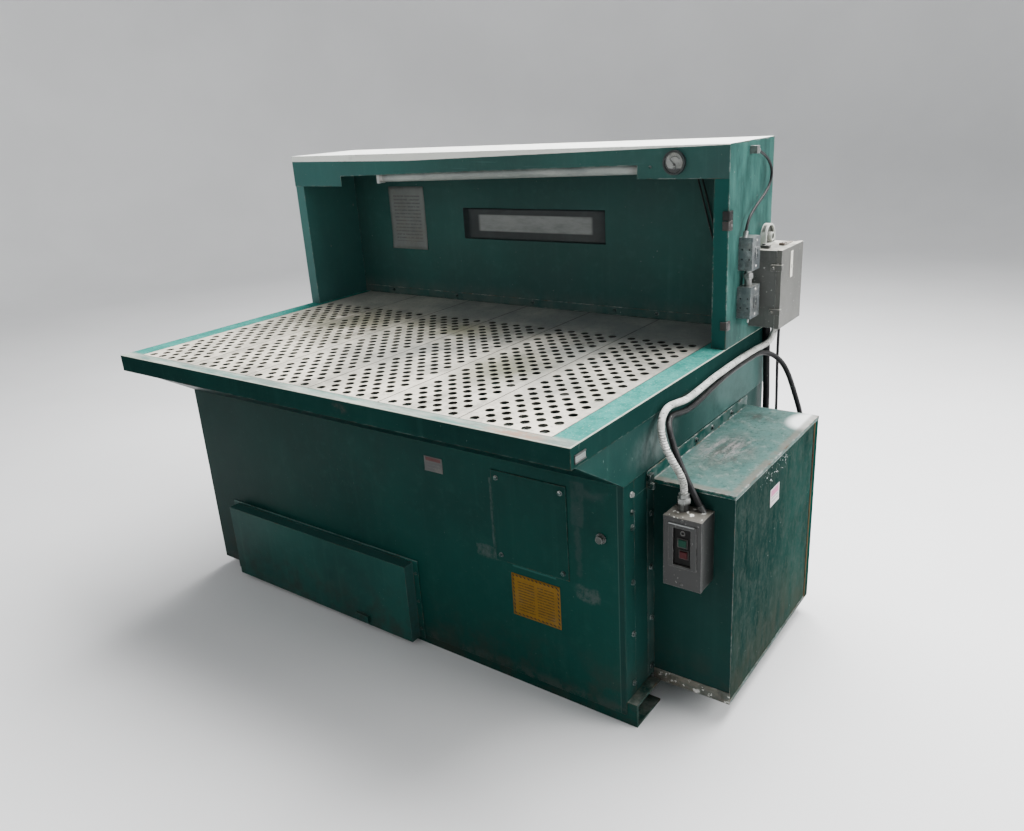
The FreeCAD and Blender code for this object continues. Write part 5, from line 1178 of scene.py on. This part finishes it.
def dress_painted_sheets():
    """The teal sheets, each with the wear and dirt of its place and a shade that paints in the light and
    shade it gets.
    """
    plain = paint("teal_cabinet", shade=0.38, gloss=0.03, haze=0.25, extra=corner_marks)
    dress_nodes(plain, "side_panel_left", "side_panel_right", "rear_panel")
    front = paint("teal_front", shade=0.25, gloss=0.05, streaks=0.2, wear=0.4, dust=0.3,
                  bare=(0.08, 0.1, 0.095), extra=front_marks)
    dress_nodes(front, "front_panel")
    access = paint("teal_access", shade=0.23, gloss=0.05, streaks=0.3, wear=0.5, edge=0.006,
                   bare=(0.08, 0.11, 0.1))
    dress_nodes(access, "access_panel")
    drawer = paint("teal_drawer", shade=0.38, gloss=0.08, haze=0.12, dust=0.12, bare=(0.1, 0.12, 0.115),
                   extra=drawer_marks)
    dress_nodes(drawer, "drawer_front")
    rim = paint("teal_rim", shade=0.25, gloss=0.0, haze=0.28, dust=0.25, wear=0.6, edge=0.005,
                bare=(0.2, 0.24, 0.22), extra=rim_marks)
    dress_nodes(rim, "table_rim")
    skirt = paint("teal_skirt", shade=0.34, gloss=0.02, haze=0.3, wear=0.5, bare=(0.2, 0.24, 0.22),
                  extra=skirt_marks)
    dress_nodes(skirt, "table_skirt")
    base = paint("teal_base", shade=0.24, gloss=0.05, dust=0.5, grime=0.6, wear=0.8, edge=0.006,
                 bare=(0.12, 0.14, 0.13))
    dress_nodes(base, "base_channels")
    interior = paint("teal_interior", shade=0.35, dust=0.9, streaks=0.6)
    dress_nodes(interior, "floor_pan", "tube_sheet", "grate_bearers")
    box_top = paint("teal_box_top", shade=0.4, gloss=0.08, dust=0.25, wear=1.0, edge=0.007,
                    extra=top_marks)
    dress_nodes(box_top, "blower_box_top")
    box_front = paint("teal_box_front", shade=0.24, gloss=0.03, streaks=0.25, wear=0.5, haze=0.3,
                      bare=(0.12, 0.14, 0.13), extra=box_front_marks)
    dress_nodes(box_front, "blower_box_front")
    dress_nodes(paint("teal_box_side", shade=0.11, gloss=0.0, extra=side_marks), "blower_box_side")
    dress_nodes(paint("teal_box_base", shade=0.25, grime=0.8, extra=bare_base_marks), "blower_box_bottom")
    dress_nodes(paint("teal_grille", shade=0.2, gloss=0.0, edge=0.003, bare=(0.08, 0.1, 0.095),
                      extra=rust_edge_marks), "exhaust_grille")
    hood_side = paint("teal_hood_side", shade=0.42, gloss=0.03, haze=0.3, edge=0.006,
                      extra=hood_side_marks)
    dress_nodes(hood_side, "hood_right")
    dress_nodes(paint("teal_hood_left", shade=1.05, haze=0.45, extra=left_side_marks), "hood_left")
    hood_back = paint("teal_hood_back", shade=0.74, gloss=0.08, haze=0.4, streaks=0.25,
                      extra=back_panel_marks)
    dress_nodes(hood_back, "hood_back")
    dress_nodes(paint("teal_hood_top", shade=0.6, dust=1.0, extra=hood_top_marks), "hood_top")
    fascia = paint("teal_fascia", shade=0.74, gloss=0.06, haze=0.45, edge=0.005, extra=fascia_marks)
    dress_nodes(fascia, "hood_fascia")


def dress_metal_and_fittings():
    """Plates, zinc, steel, lamp, gauge, switches and boxes."""
    dress_nodes(grate_steel(), *[f'grate_{k}' for k in range(1, 7)])
    dress_nodes(zinc("galvanised", dirt=0.7), "drawer_tray", "drawer_runners", "blower_housing")
    dress_nodes(zinc("switch_zinc", tone=(0.18, 0.205, 0.215), dirt=0.55), "switch_boxes")
    dress_nodes(zinc("fitting_zinc", tone=(0.26, 0.27, 0.26), extra=fitting_marks), "conduit_fittings")
    dress_nodes(zinc("bolt_zinc", tone=(0.48, 0.49, 0.47), extra=bolt_marks), "cabinet_bolts")
    dress_nodes(bright_steel("shaft_steel"), "blower_shaft", "filter_tie_rods")
    dress_nodes(enamel("wheel_grey", (0.16, 0.17, 0.18), dirt=0.6), "blower_wheel")
    dress_nodes(enamel("stand_dark", (0.04, 0.043, 0.045)), "motor_stand")
    dress_nodes(motor_paint(), "blower_motor")
    dress_nodes(pleated_media(), "filter_cartridge_1", "filter_cartridge_2")
    dress_nodes(enamel("fixture_white", (0.42, 0.44, 0.43), dust=0.6), "light_fixture")
    dress_nodes(lamp_glass(), "light_tube")
    dress_nodes(gauge_face(), "gauge_case")
    dress_nodes(enamel("needle_dark", (0.016, 0.016, 0.018), dust=0.1), "gauge_pointer")
    dress_nodes(plastic("toggle_ivory", (0.72, 0.72, 0.68)), "toggle_upper", "toggle_lower")
    dress_nodes(enamel("enclosure_grey", (0.085, 0.088, 0.082), dust=0.8, dirt=0.6), "enclosure_body")
    dress_nodes(enamel("door_grey", (0.078, 0.078, 0.071), dust=0.8, dirt=0.3), "enclosure_door")
    dress_nodes(enamel("controls_grey", (0.12, 0.12, 0.12)), "enclosure_controls")
    starter = enamel("starter_grey", (0.007, 0.0078, 0.0074), dust=0.15, wear=0.25, extra=starter_marks)
    dress_nodes(starter, "starter_box", "starter_cover")
    dress_nodes(plastic("insert_black", (0.004, 0.004, 0.004), dirt=0.04, gloss=0.1), "starter_unit")
    dress_nodes(plastic("start_green", (0.005, 0.045, 0.028), dirt=0.2, gloss=0.1), "start_button")
    dress_nodes(plastic("stop_red", (0.055, 0.011, 0.013), dirt=0.2, gloss=0.1), "stop_button")
    dress_nodes(enamel("cast_white", (0.52, 0.54, 0.5), dust=0.5, dirt=0.5, extra=hub_marks),
                "supply_hub")


make_camera()
make_cords()
make_lights()
make_floor()
dress_painted_sheets()
dress_metal_and_fittings()
make_sheets()
make_tag_holder()
make_hood_clips()
make_starter_details()
make_switch_details()
make_enclosure_details()
make_gauge_lens()
